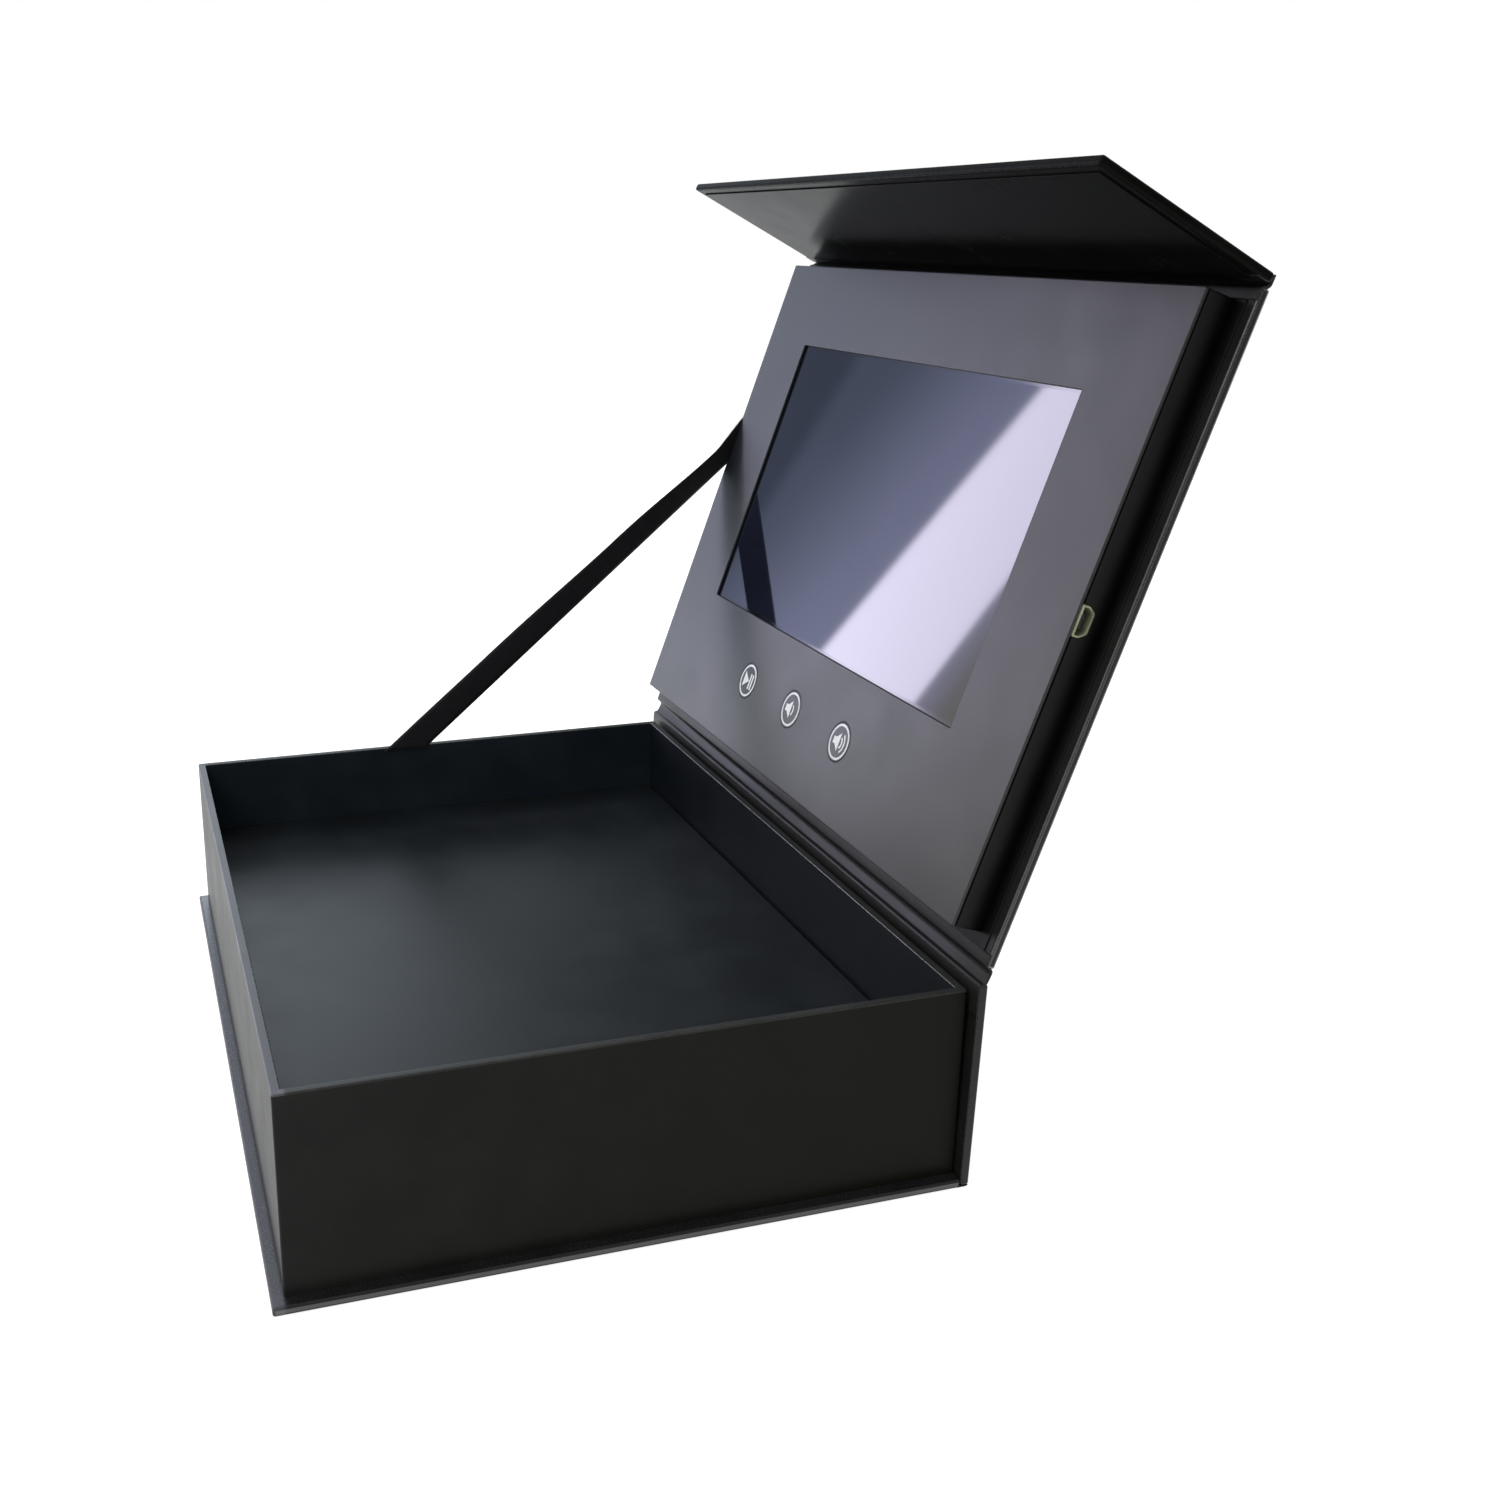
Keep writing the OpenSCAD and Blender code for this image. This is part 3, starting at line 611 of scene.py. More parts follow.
def buildWorld():
    # white where it is seen or mirrored, and a plain grey light elsewhere
    world = bpy.data.worlds.new("studio")
    bpy.context.scene.world = world
    world.use_nodes = True
    world.node_tree.nodes.clear()
    wire = Wire(world.node_tree)
    strength = seenRays(wire) * (1 - studio["worldDiffuse"]) + studio["worldDiffuse"]
    back = wire.node("ShaderNodeBackground", {}, {"Color": rgb(1, 1, 1), "Strength": strength})
    wire.node("ShaderNodeOutputWorld", {}, {"Surface": back})


def buildFloor():
    material, wire, _ = newMaterial("paleFloor")
    white = seenRays(wire)
    plain = wire.node("ShaderNodeBsdfDiffuse", {}, {"Color": rgb(*[studio["floorPlain"]] * 3)})
    shaded = wire.node("ShaderNodeBsdfDiffuse", {}, {"Color": rgb(*[studio["floorGrey"]] * 3)})
    glow = wire.node("ShaderNodeEmission", {}, {"Color": rgb(1, 1, 1), "Strength": studio["floorGlow"]})
    both = wire.node("ShaderNodeAddShader", {}, {0: shaded, 1: glow})
    mixed = wire.node("ShaderNodeMixShader", {}, {0: white, 1: plain, 2: both})
    wire.node("ShaderNodeOutputMaterial", {}, {"Surface": mixed})
    half = studio["floorSize"] / 2 / mm
    shape = bmesh.new()
    corners = ((-half, -half), (half, -half), (half, half), (-half, half))
    shape.faces.new([shape.verts.new((x, y, 0)) for x, y in corners])
    addPiece("floor", shape, [material])


lamps = {
    "keyLamp": {"place": (0.35, -0.9, 1.35), "target": (0, 0.02, 0.08), "size": (0.9, 0.9), "power": 9},
    "sideLamp": {"place": (-1.0, -0.05, 1.0), "target": (-0.03, -0.02, 0.0), "size": (1.3, 1.3), "power": 14,
                 "colour": (0.86, 0.93, 1.0), "mirrors": False},
    "backLamp": {"place": (-0.5, 1.2, 1.1), "target": (0, 0.05, 0.1), "size": (1.0, 0.7), "power": 5},
}


def areaLamp(name, place, target, size, power, colour=(1, 1, 1), mirrors=True):
    data = bpy.data.lights.new(name, "AREA")
    data.shape, data.size, data.size_y = "RECTANGLE", size[0], size[1]
    data.energy, data.color = power, colour
    lamp = bpy.data.objects.new(name, data)
    bpy.context.scene.collection.objects.link(lamp)
    lamp.location = place
    lamp.rotation_mode = "QUATERNION"
    lamp.rotation_quaternion = (Vector(target) - Vector(place)).to_track_quat("-Z", "Y")
    lamp.visible_camera = False
    lamp.visible_glossy = mirrors


def glowCard(name, corners, colour):
    # a studio card that only glossy surfaces mirror
    material, wire, place = newMaterial(name)
    shade = colour(place) if callable(colour) else colour
    glow = wire.node("ShaderNodeEmission", {}, {"Color": shade, "Strength": 1.0})
    wire.node("ShaderNodeOutputMaterial", {}, {"Surface": glow})
    shape = bmesh.new()
    shape.faces.new([shape.verts.new(c) for c in corners])
    card = addPiece(name, shape, [material], Matrix.Identity(4))
    for ray in ("camera", "diffuse", "transmission", "shadow", "volume_scatter"):
        setattr(card, "visible_" + ray, False)


# the room that the screen mirrors; its lines are named by photo points, the rest is in metres
windowCard = {
    "distance": 1.25, "near": -1.6, "height": 1.0,
    "stripeLeft": ((1046, 384), (821, 652)), "stripeRight": ((1004, 585), (913, 705)),
    "wedge": ((859, 370), (766, 518)), "wedgeShare": 0.55,
    "paleWidth": 0.19, "stripeSoft": 0.006, "pastSoft": 0.003, "beyondSpan": (-0.006, -0.05),
    "wedgeSpan": (-0.004, 0.02), "cornerSpan": (0.34, 0.56), "horizonSpan": (0.12, 0.02),
    "slate": rgb(0.47, 0.56, 0.80), "pale": rgb(1.6, 1.7, 2.6), "dusk": rgb(0.08, 0.10, 0.14),
    "bright": rgb(8.6, 8.2, 10.4), "beyond": rgb(2.0, 1.95, 2.6), "corner": rgb(1.50, 1.44, 1.36),
    "upper": rgb(0.34, 0.32, 0.26), "horizon": rgb(1.6, 1.8, 1.9),
}
# the room that the tray's floor mirrors, paler towards the front and below
sideCard = {
    "start": -0.22, "end": 0.58, "far": 2.4, "height": 1.5, "middle": 0.5, "rise": 0.7,
    "bright": rgb(1.30, 1.46, 1.62), "dark": rgb(0.03, 0.033, 0.03),
}
darkCard = {"distance": 1.6, "half": 2.2, "height": 2.4, "tone": rgb(0.30, 0.30, 0.28)}


def mirrored(px, py, distance):
    # where the ray through a photo point, mirrored in the screen, meets the plane x = -distance
    across = (px - view["photoMiddle"][0]) / view["photoLens"]
    lower = (py - view["photoMiddle"][1]) / view["photoLens"]
    ray = (ahead + right * across + down * lower).normalized()
    eye = Vector(view["place"])
    glassPoint = onLid @ Vector((0, 0, box["panelFace"] - box["faceCard"]))
    hit = eye + ray * ((glassPoint - eye).dot(lidNormal) / ray.dot(lidNormal))
    out = ray - 2 * ray.dot(lidNormal) * lidNormal
    return hit + out * ((-distance - hit.x) / out.x)


def windowShade(place):
    # slate, paler towards a bright stripe, and plain again past it
    w = windowCard

    def side(line, low, high):
        # soft step across a line of the mirrored room
        a, b = (mirrored(px, py, w["distance"]) for px, py in line)
        across = Vector((0, -(b - a).z, (b - a).y)).normalized()
        away = place.node("ShaderNodeVectorMath", {"operation": "DOT_PRODUCT"}, {0: place, 1: across}, out=1)
        return (away - a.dot(across)).step(low, high)

    near = side(w["stripeLeft"], w["paleWidth"], 0.0)
    wedge = side(w["wedge"], *w["wedgeSpan"])
    stripe = side(w["stripeLeft"], w["stripeSoft"], -w["stripeSoft"])
    past = side(w["stripeRight"], w["pastSoft"], -w["pastSoft"])
    farPast = side(w["stripeRight"], *w["beyondSpan"])
    back = near.tint(w["slate"], w["pale"])
    back = (wedge * w["wedgeShare"]).tint(back, w["dusk"])
    level = place.node("ShaderNodeSeparateXYZ", {}, {0: place}, out=2)
    rest = level.step(*w["cornerSpan"]).tint(w["corner"], w["upper"])
    whole = past.tint(stripe.tint(back, w["bright"]), farPast.tint(w["beyond"], rest))
    return level.step(*w["horizonSpan"]).tint(whole, w["horizon"])


def sideShade(place):
    along, level = (place.node("ShaderNodeSeparateXYZ", {}, {0: place}, out=i) for i in (1, 2))
    fading = along / sideCard["end"] + (level - sideCard["middle"]) * sideCard["rise"]
    return fading.step(0.0, 1.0).tint(sideCard["bright"], sideCard["dark"])


def upright(x, y0, y1, height):
    return [(x, y0, 0.0), (x, y1, 0.0), (x, y1, height), (x, y0, height)]


def buildCards():
    x, start = -windowCard["distance"], sideCard["start"]
    glowCard("windowCard", upright(x, windowCard["near"], start, windowCard["height"]), windowShade)
    glowCard("sideCard", upright(x, start, sideCard["far"], sideCard["height"]), sideShade)
    half = darkCard["half"]
    glowCard("darkFlag", upright(darkCard["distance"], -half, half, darkCard["height"]), darkCard["tone"])


buildWorld()
buildFloor()
buildCards()
for name, lamp in lamps.items():
    areaLamp(name, **lamp)
print("camera, floor and lamps ready")


# the four walls as one wrapped ring; rim is the radius of its rounded top
trayWalls = {
    "width": 219.3, "depth": 161.8, "height": 49.0, "foot": 2.2, "wall": 2.25,
    "corner": 0.7, "rim": 0.42, "arc": 6, "rimArc": 8, "shoulder": 3.0, "least": 0.22, "merge": 0.02,
    "rimBand": 0.5, "flatRim": 0.9,
}


def newTree(name, kinds):
    # a geometry tree and the wires of its inputs, which are named as in the piece's settings
    tree = bpy.data.node_groups.new(name, "GeometryNodeTree")
    for kind, names in kinds.items():
        for each in names:
            tree.interface.new_socket(name=each, in_out="INPUT", socket_type="NodeSocket" + kind)
    tree.interface.new_socket(name="Geometry", in_out="OUTPUT", socket_type="NodeSocketGeometry")
    start = tree.nodes.new("NodeGroupInput")
    return Wire(tree), [Wire(tree, output) for output in list(start.outputs)[:-1]]


def endTree(wire, geometry, material):
    real = wire.node("GeometryNodeRealizeInstances", {}, {"Geometry": geometry})
    shaded = wire.node("GeometryNodeSetMaterial", {}, {"Geometry": real, "Material": material})
    wire.node("NodeGroupOutput", {}, {0: shaded})
    return wire.tree


def grow(name, tree, settings, mesh=None):
    # runs a node tree on a mesh, or on an empty one, and gives the shape it makes
    piece = bpy.data.objects.new(name, mesh or bpy.data.meshes.new(name))
    bpy.context.scene.collection.objects.link(piece)
    modifier = piece.modifiers.new("shape", "NODES")
    modifier.node_group = tree
    # a modifier knows its inputs by their identifiers
    for item in tree.interface.items_tree:
        if item.in_out == "INPUT" and item.name in settings:
            modifier[item.identifier] = settings[item.name]
    shape = shapeOf(settle(piece))
    paint(shape, 0)  # the tree's own material slots aren't kept
    return shape


def wallTree(material):
    # a grid whose columns go round the tray and whose rows go up, over the rim and down inside
    wire, inputs = newTree("tray walls", {
        "Float": ("width", "depth", "height", "foot", "wall", "corner", "rim", "shoulder", "least", "merge"),
        "Int": ("arc", "rimArc"),
    })
    width, depth, height, foot, wall, corner, rim, shoulder, least, merge, arc, rimArc = inputs
    perCorner = arc + 1
    ring = perCorner * 4 + 1  # the first column comes again and is merged
    rows = rimArc + 5
    counts = {"Size X": 1.0, "Size Y": 1.0, "Vertices X": ring, "Vertices Y": rows}
    grid = wire.node("GeometryNodeMeshGrid", {}, counts)
    index = wire.node("GeometryNodeInputIndex")
    column = (index / rows).math("FLOOR", index / rows)
    row = index - column * rows
    turn = (column / perCorner).math("FLOOR", column / perCorner)
    within = column - turn * perCorner
    angle = turn * (math.pi / 2) + within / arc * (math.pi / 2)
    middle = turn * (math.pi / 2) + math.pi / 4
    signX = middle.math("SIGN", middle.math("COSINE", middle))
    signY = middle.math("SIGN", middle.math("SINE", middle))
    # rows: foot outside, up to the rim, over it in an arc, down inside, foot inside, closed below
    share = (row - 2) / rimArc
    share = share.math("MAXIMUM", share, 0.0)
    share = share.math("MINIMUM", share, 1.0)
    swing = share * math.pi
    bow = 1 - swing.math("COSINE", swing)
    inner = (share > 0.5) * (wall - rim * 2)
    outside, inside = row < 0.5, row > rows - 3.5
    last = row > rows - 1.5
    inset = (bow * rim + inner) * (1 - outside) * (1 - inside) + inside * wall * (1 - last)
    rise = (height - rim) + swing.sin() * rim
    mid = (row > 0.5) * (row < 1.5)
    low = outside.math("MAXIMUM", outside, row > rows - 2.5)
    rise = rise * (1 - low)
    rise = rise * (1 - mid) + mid * (height - rim * shoulder)
    nearFoot = (row > rows - 3.5) * (row < rows - 2.5)
    rise = rise * (1 - nearFoot) + nearFoot * (height - rim * shoulder)
    radius = corner - inset
    radius = radius.math("MAXIMUM", radius, least)
    x = signX * (width / 2 - inset - radius) + radius * angle.math("COSINE", angle)
    y = signY * (depth / 2 - inset - radius) + radius * angle.math("SINE", angle)
    place = wire.node("ShaderNodeCombineXYZ", {}, {0: x, 1: y, 2: rise + foot})
    moved = wire.node("GeometryNodeSetPosition", {}, {"Geometry": grid, "Position": place})
    merged = wire.node("GeometryNodeMergeByDistance", {}, {"Geometry": moved, "Distance": merge})
    return endTree(wire, merged, material)


def buildTray():
    s = trayWalls
    shape = grow("tray_walls", wallTree(trayWrap), s)
    shape.normal_update()
    innerX, innerY = s["width"] / 2 - s["wall"] / 2, s["depth"] / 2 - s["wall"] / 2
    for face in shape.faces:
        spot = face.calc_center_median()
        onFar = spot.x < -s["width"] / 2 + s["wall"]
        inside = abs(spot.x) < innerX and abs(spot.y) < innerY
        if min(v.co.z for v in face.verts) > rimZ - s["rimBand"]:
            face.material_index = 4 if inside and face.normal.z < s["flatRim"] else 1
        elif inside:
            # the far wall's inside gets a lighter copy of the inner wall paper, painted light
            face.material_index = 3 if onFar else 2
    tray = addPiece("tray_walls", shape, [trayWrap, trayRim, innerWall, farWallLit, trayRimLine])
    soften(tray, 50)
    finishSet(tray, "tray", "tray_wrap", "front_wall", "rear_wall", "left_wall", "right_wall")


buildTray()
print("tray walls built")


# wrapped boards, lining sheets and the raised floor's folded card
boards = {
    "radius": 0.62, "turnIn": 16.0, "spineTop": 0.5, "flapStart": 0.5, "lidEdgeSide": 0.3,
    "linerRadius": 0.12, "floorInset": 0.9, "floorRadius": 0.15,
}
floorCard = {"thick": 1.2, "gap": 0.3, "radius": 0.4, "foldRadius": 0.2, "foldDrop": 0.5}


def wrappedBoard(width, length, thick, start):
    # the board with the wrap's flaps on its inner face
    r = boards["radius"]
    depth = min(boards["turnIn"], length / 2 - 1)
    body = softBlock((-width / 2, 0, 0), (width / 2, length, thick), r)
    flaps = turnIns(width - 2 * r, length - 2 * r, depth, thick + wrapFlaps["proud"])
    for flap in flaps:
        flap.transform(Matrix.Translation((0, r, 0)))
    whole = joined(body, *flaps)
    whole.transform(Matrix.Translation((0, start, 0)))
    return whole


def liningSheet(width, length, start):
    low = box["board"]
    sheet = softBlock((-width / 2, 0, low), (width / 2, length, low + box["liner"]), boards["linerRadius"], 3)
    sheet.transform(Matrix.Translation((0, start, 0)))
    return sheet


def buildBoards():
    width, board = 2 * caseHalf, box["board"]
    base = softBlock((-caseHalf, frontY, 0), (caseHalf, box["trayDepth"] / 2, board), boards["radius"])
    piece = addPiece("base_cover", base, [baseWrap, baseWrapEdge])
    finishSet(soften(piece), "tray", "case_wrap", "base_board")

    # the spine stands on its foot, its thickness towards the tray
    top = boards["spineTop"]
    foot = hinge.z / math.cos(math.radians(box["spineLean"])) - top
    spine = softBlock((-caseHalf, -board, -foot), (caseHalf, 0, -top), boards["radius"])
    piece = addPiece("spine_cover", spine, [caseWrap, caseWrapEdge], onSpine)
    finishSet(soften(piece), "tray", "case_wrap", "spine_board")

    # the lid's outer side edges get a pale finish, a painted highlight
    lid = wrappedBoard(width, lidLength - 2 * box["groove"], board, box["groove"])
    for face in lid.faces:
        outer = face.calc_center_median().z < board / 2 and abs(face.normal.x) > boards["lidEdgeSide"]
        if face.material_index == 1 and outer:
            face.material_index = 2
    piece = addPiece("lid_cover", lid, [caseWrap, caseWrapRubbed, lidEdgeHighlight], onLid)
    finishSet(soften(piece), "lid", "case_wrap", "lid_board")

    flapStart = boards["flapStart"]
    flapLength = box["flapLength"] - flapStart
    flap = wrappedBoard(width, flapLength, board, flapStart)
    piece = addPiece("flap_cover", flap, [flapPaper, flapPaperEdge], onFlap)
    finishSet(soften(piece), "flap", "case_wrap", "flap_board")


def buildLinings():
    margin = box["margin"]
    width = 2 * caseHalf - 2 * margin
    start = box["groove"] + margin
    sheet = liningSheet(width, lidLength - 2 * start, start)
    piece = addPiece("lid_lining", sheet, [lidMargin, lidMargin], onLid)
    finishSet(soften(piece), "lid", "lining_paper", "lid_liner")

    start = boards["flapStart"]
    sheet = liningSheet(width, box["flapLength"] - start - 2 * margin, start + margin)
    piece = addPiece("flap_lining", sheet, [flapPaper, flapPaper], onFlap)
    finishSet(soften(piece), "flap", "lining_paper", "flap_liner")

    low, high = (corner.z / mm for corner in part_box("floor_lining"))
    x, y = wallInX - boards["floorInset"], wallInY - boards["floorInset"]
    sheet = softBlock((-x, -y, low), (x, y, high), boards["floorRadius"], 3)
    piece = addPiece("tray_lining", sheet, [liningPaper, liningPaperEdge])
    finishSet(soften(piece), "tray", "lining_paper", "floor_lining")


def buildFloorCard():
    # folded down at its sides and open below
    c = floorCard
    low, high = (corner.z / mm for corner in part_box("raised_floor"))
    x, y, thick = wallInX - c["gap"], wallInY - c["gap"], c["thick"]
    top, r = high - c["foldDrop"], c["foldRadius"]
    plate = softBlock((-x, -y, high - thick), (x, y, high), c["radius"], 4)
    sides = [softBlock((-x, at, low), (x, at + thick, top), r, 2) for at in (-y, y - thick)]
    sides += [softBlock((at, -y + thick, low), (at + thick, y - thick, top), r, 2) for at in (-x, x - thick)]
    piece = addPiece("floor_card", joined(plate, *sides), [blackCardAndShade, blackCardEdge])
    finishSet(soften(piece), "tray", "tray_wrap", "raised_floor")


buildBoards()
buildLinings()
buildFloorCard()
print("boards and linings built")


# creases of the outer wrap, drawn as bands along X
creases = {"sideGap": 0.15, "footGap": 0.2, "endTaper": 0.25, "endShare": 0.82, "columns": 12}


def smoothLine(points, steps=5):
    # a smooth line through all the points
    padded = [points[0] * 2 - points[1], *points, points[-1] * 2 - points[-2]]
    line = []
    for i in range(1, len(padded) - 2):
        a, b, c, d = padded[i - 1:i + 3]
        for k in range(steps):
            t = k / steps
            line.append(0.5 * ((2 * b) + (c - a) * t + (2 * a - 5 * b + 4 * c - d) * t * t
                               + (3 * b - a - 3 * c + d) * t * t * t))
    line.append(padded[-2])
    return line


def bandAlongX(inner, outer, half):
    # closed band between two lines in the YZ plane, drawn in a little at its ends
    outline = smoothLine(inner) + smoothLine(outer)[::-1]
    count = len(outline)
    taper, columns = creases["endTaper"], creases["columns"]
    stations = [(-half, creases["endShare"]), (-half + taper, 1.0)]
    stations += [(-half + taper + 2 * (half - taper) * k / columns, 1.0) for k in range(1, columns)]
    stations += [(half - taper, 1.0), (half, creases["endShare"])]
    shape = bmesh.new()
    rings = []
    for x, share in stations:
        ring = []
        for i, p in enumerate(outline):
            middle = (p + outline[count - 1 - i]) / 2
            q = middle + (p - middle) * share
            ring.append(shape.verts.new((x, q.x, q.y)))
        rings.append(ring)
    closedBand(shape, rings)
    return shape


def onPlane(matrix, s, t):
    # a point of a turned drawing as Y and Z in millimetres
    p = matrix @ Vector((0, s, t)) / mm
    return Vector((p.y, p.z))


def buildCreases():
    # the bands' points are listed in millimetres of the board that each lies on
    board, end, half = box["board"], lidLength, caseHalf - creases["sideGap"]

    def atSpine(up, out):
        return onPlane(onSpine, -board + out, up)

    def atLid(s, t):
        return onPlane(onLid, s, t)

    def atFlap(s, t):
        return onPlane(onFlap, s, t)

    # from the spine's face over its top, down in the groove and up on the lid board
    inner = [atSpine(-9, -0.16), atSpine(-4, -0.20), atSpine(-1.2, -0.16), atSpine(-0.35, 0.25),
             atSpine(-0.12, 1.1), atLid(1.0, 0.62), atLid(1.9, 0.50), atLid(2.7, 0.72),
             atLid(3.15, 1.5), atLid(3.65, 2.28), atLid(4.6, 2.42), atLid(6.6, 2.40)]
    outer = [atSpine(-9, 0.1), atSpine(-4, 0.1), atSpine(-1.6, 0.2), atSpine(-0.9, 0.8),
             atSpine(-0.7, 1.6), atLid(0.7, 0.10), atLid(1.7, 0.04), atLid(2.8, 0.10),
             atLid(3.7, 1.0), atLid(4.2, 1.9), atLid(5.0, 2.1), atLid(6.6, 2.1)]
    piece = addPiece("spine_crease", bandAlongX(inner, outer, half), [caseWrap])
    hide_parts("lid_crease")
    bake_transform(piece)

    # the fold between the lid and the flap
    inner = [atLid(end - 6.4, 2.40), atLid(end - 4.4, 2.42), atLid(end - 3.5, 2.2), atLid(end - 3.0, 1.4),
             atLid(end - 2.3, 0.75), atLid(end - 1.3, 0.5), atFlap(0.28, 0.9), atFlap(0.42, 1.9),
             atFlap(1.1, 2.34), atFlap(2.2, 2.40), atFlap(4.2, 2.38)]
    outer = [atLid(end - 6.4, 2.1), atLid(end - 4.7, 2.1), atLid(end - 4.0, 1.8), atLid(end - 3.6, 0.9),
             atLid(end - 2.7, 0.12), atLid(end - 1.3, 0.02), atFlap(0.05, 0.1), atFlap(0.7, 0.5),
             atFlap(1.2, 1.6), atFlap(2.2, 2.0), atFlap(4.2, 2.05)]
    piece = addPiece("flap_crease", bandAlongX(inner, outer, half), [caseWrap])
    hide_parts("fold_crease")
    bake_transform(piece)

    # the wrap under the spine's foot
    back = box["trayDepth"] / 2
    inner = [Vector((back + y, z)) for y, z in ((-0.7, 0.42), (0.2, 0.46), (1.2, 0.48), (1.9, 0.62))]
    outer = [Vector((back + y, z)) for y, z in ((-0.7, 0.05), (0.2, 0.05), (1.6, 0.08), (2.24, 0.40))]
    band = bandAlongX(inner, outer, caseHalf - creases["footGap"])
    piece = addPiece("foot_crease", band, [caseWrap])
    finishSet(piece, "tray", "case_wrap", "base_crease")


buildCreases()
print("creases built")


# screen panel on the lid: a front card with its window and key holes, on a folded frame
panel = {
    "windowHalf": 77.0, "windowStart": panelFoot + 40.4, "windowHeight": 86.0,
    "keyPitch": 32.0, "keyShift": 1.7, "keyUp": panelFoot + 21.6, "keyRadius": 5.6, "keyGap": 0.08,
    "socketUp": panelFoot + 76, "socketWide": 7.7, "socketHigh": 3.9, "socketGap": 0.15,
    "bevel": 0.22, "corner": 0.5, "windowCorner": 0.25, "wallCorner": 0.45, "innerCorner": 0.3,
    "wallInset": 0.10, "wallBevel": 0.24, "cornerSteps": 4, "cutEdge": 0.5,
    "rebate": 0.5, "rebateLap": 0.3, "rebateGap": 0.01, "rebateBevel": 0.05,
    "socketSoft": 0.4, "socketShoulder": 0.45, "socketSlope": 0.16,
}
faceIn = box["panelFace"] - box["faceCard"]
windowEnd = panel["windowStart"] + panel["windowHeight"]


def plateFromOutlines(outlines, low, high, bevel, steps=2):
    # a flat filled curve with holes, raised and with softened edges
    curve = bpy.data.curves.new("outline", "CURVE")
    curve.dimensions, curve.fill_mode = "2D", "BOTH"
    curve.extrude = (high - low) / 2 - bevel
    curve.bevel_depth, curve.bevel_resolution, curve.offset = bevel, steps, -bevel
    for points in outlines:
        spline = curve.splines.new("POLY")
        spline.points.add(len(points) - 1)
        for point, (x, y) in zip(spline.points, points):
            point.co = (x, y, 0, 1)
        spline.use_cyclic_u = True
    holder = bpy.data.objects.new("outline", curve)
    bpy.context.scene.collection.objects.link(holder)
    bpy.context.view_layer.update()
    graph = bpy.context.evaluated_depsgraph_get()
    mesh = bpy.data.meshes.new_from_object(holder.evaluated_get(graph))
    shape = bmesh.new()
    shape.from_mesh(mesh)
    bmesh.ops.remove_doubles(shape, verts=shape.verts[:], dist=0.0005)
    shape.transform(Matrix.Translation((0, 0, (low + high) / 2)))
    bpy.data.objects.remove(holder)
    bpy.data.curves.remove(curve)
    bpy.data.meshes.remove(mesh)
    return shape


def roundRect(x0, y0, x1, y1, r, steps):
    points = []
    middles = ((x1 - r, y1 - r), (x0 + r, y1 - r), (x0 + r, y0 + r), (x1 - r, y0 + r))
    for quarter, (cx, cy) in enumerate(middles):
        for k in range(steps + 1):
            a = math.pi / 2 * (quarter + k / steps)
            points.append((cx + r * math.cos(a), cy + r * math.sin(a)))
    return points


def circle(x, y, r, count=64):
    turns = [2 * math.pi * k / count for k in range(count)]
    return [(x + r * math.cos(a), y + r * math.sin(a)) for a in turns]


def socketOutline(w, h, soft):
    # wide towards the front card and narrower towards the lid, with soft corners
    x, y = w / 2, h / 2
    shoulder, foot = y - panel["socketShoulder"] * h, x - panel["socketSlope"] * w
    corners = [(-x, y), (-x, shoulder), (-foot, -y), (foot, -y), (x, shoulder), (x, y)]
    points = []
    for i, c in enumerate(corners):
        a, b = Vector(corners[i - 1]) - Vector(c), Vector(corners[(i + 1) % 6]) - Vector(c)
        a, b = a.normalized() * soft, b.normalized() * soft
        for k in range(5):
            t = k / 4
            q = Vector(c) + a * (1 - t) ** 2 + b * t ** 2
            points.append((q.x, q.y))
    return points


def panelOutline(inset, corner):
    low, high = (panelX0 + inset, panelFoot + inset), (panelX1 - inset, panelTop - inset)
    return roundRect(*low, *high, corner, panel["cornerSteps"])


def buildFront():
    p = panel
    radius, half = p["keyRadius"] + p["keyGap"], p["windowHalf"]
    keys = [circle(k * p["keyPitch"] - p["keyShift"], p["keyUp"], radius) for k in (-1, 0, 1)]
    window = roundRect(-half, p["windowStart"], half, windowEnd, p["windowCorner"], 3)
    outline = panelOutline(0, p["corner"])
    face = plateFromOutlines([outline, window, *keys], faceIn, box["panelFace"], p["bevel"])
    # the cut edges are scuffed
    for f in face.faces:
        if abs(f.normal.z) < p["cutEdge"]:
            f.material_index = 1
    piece = addPiece("panel_front", face, [panelCard, panelCardEdge], onLid)
    finishSet(soften(piece), "lid", "panel_card", "panel_face")


def socketHole():
    # a cutter through the panel's right wall
    p = panel
    gap = 2 * p["socketGap"]
    outline = socketOutline(p["socketWide"] + gap, p["socketHigh"] + gap, p["socketSoft"])
    hole = prism(outline, panelX1 - 2 * box["rail"], panelX1 + box["rail"])
    middle = faceIn - p["socketHigh"] / 2
    hole.transform(Matrix(((0, 0, 1, 0), (1, 0, 0, p["socketUp"]), (0, 1, 0, middle), (0, 0, 0, 1))))
    return addPiece("cutter", hole, [], Matrix.Identity(4))


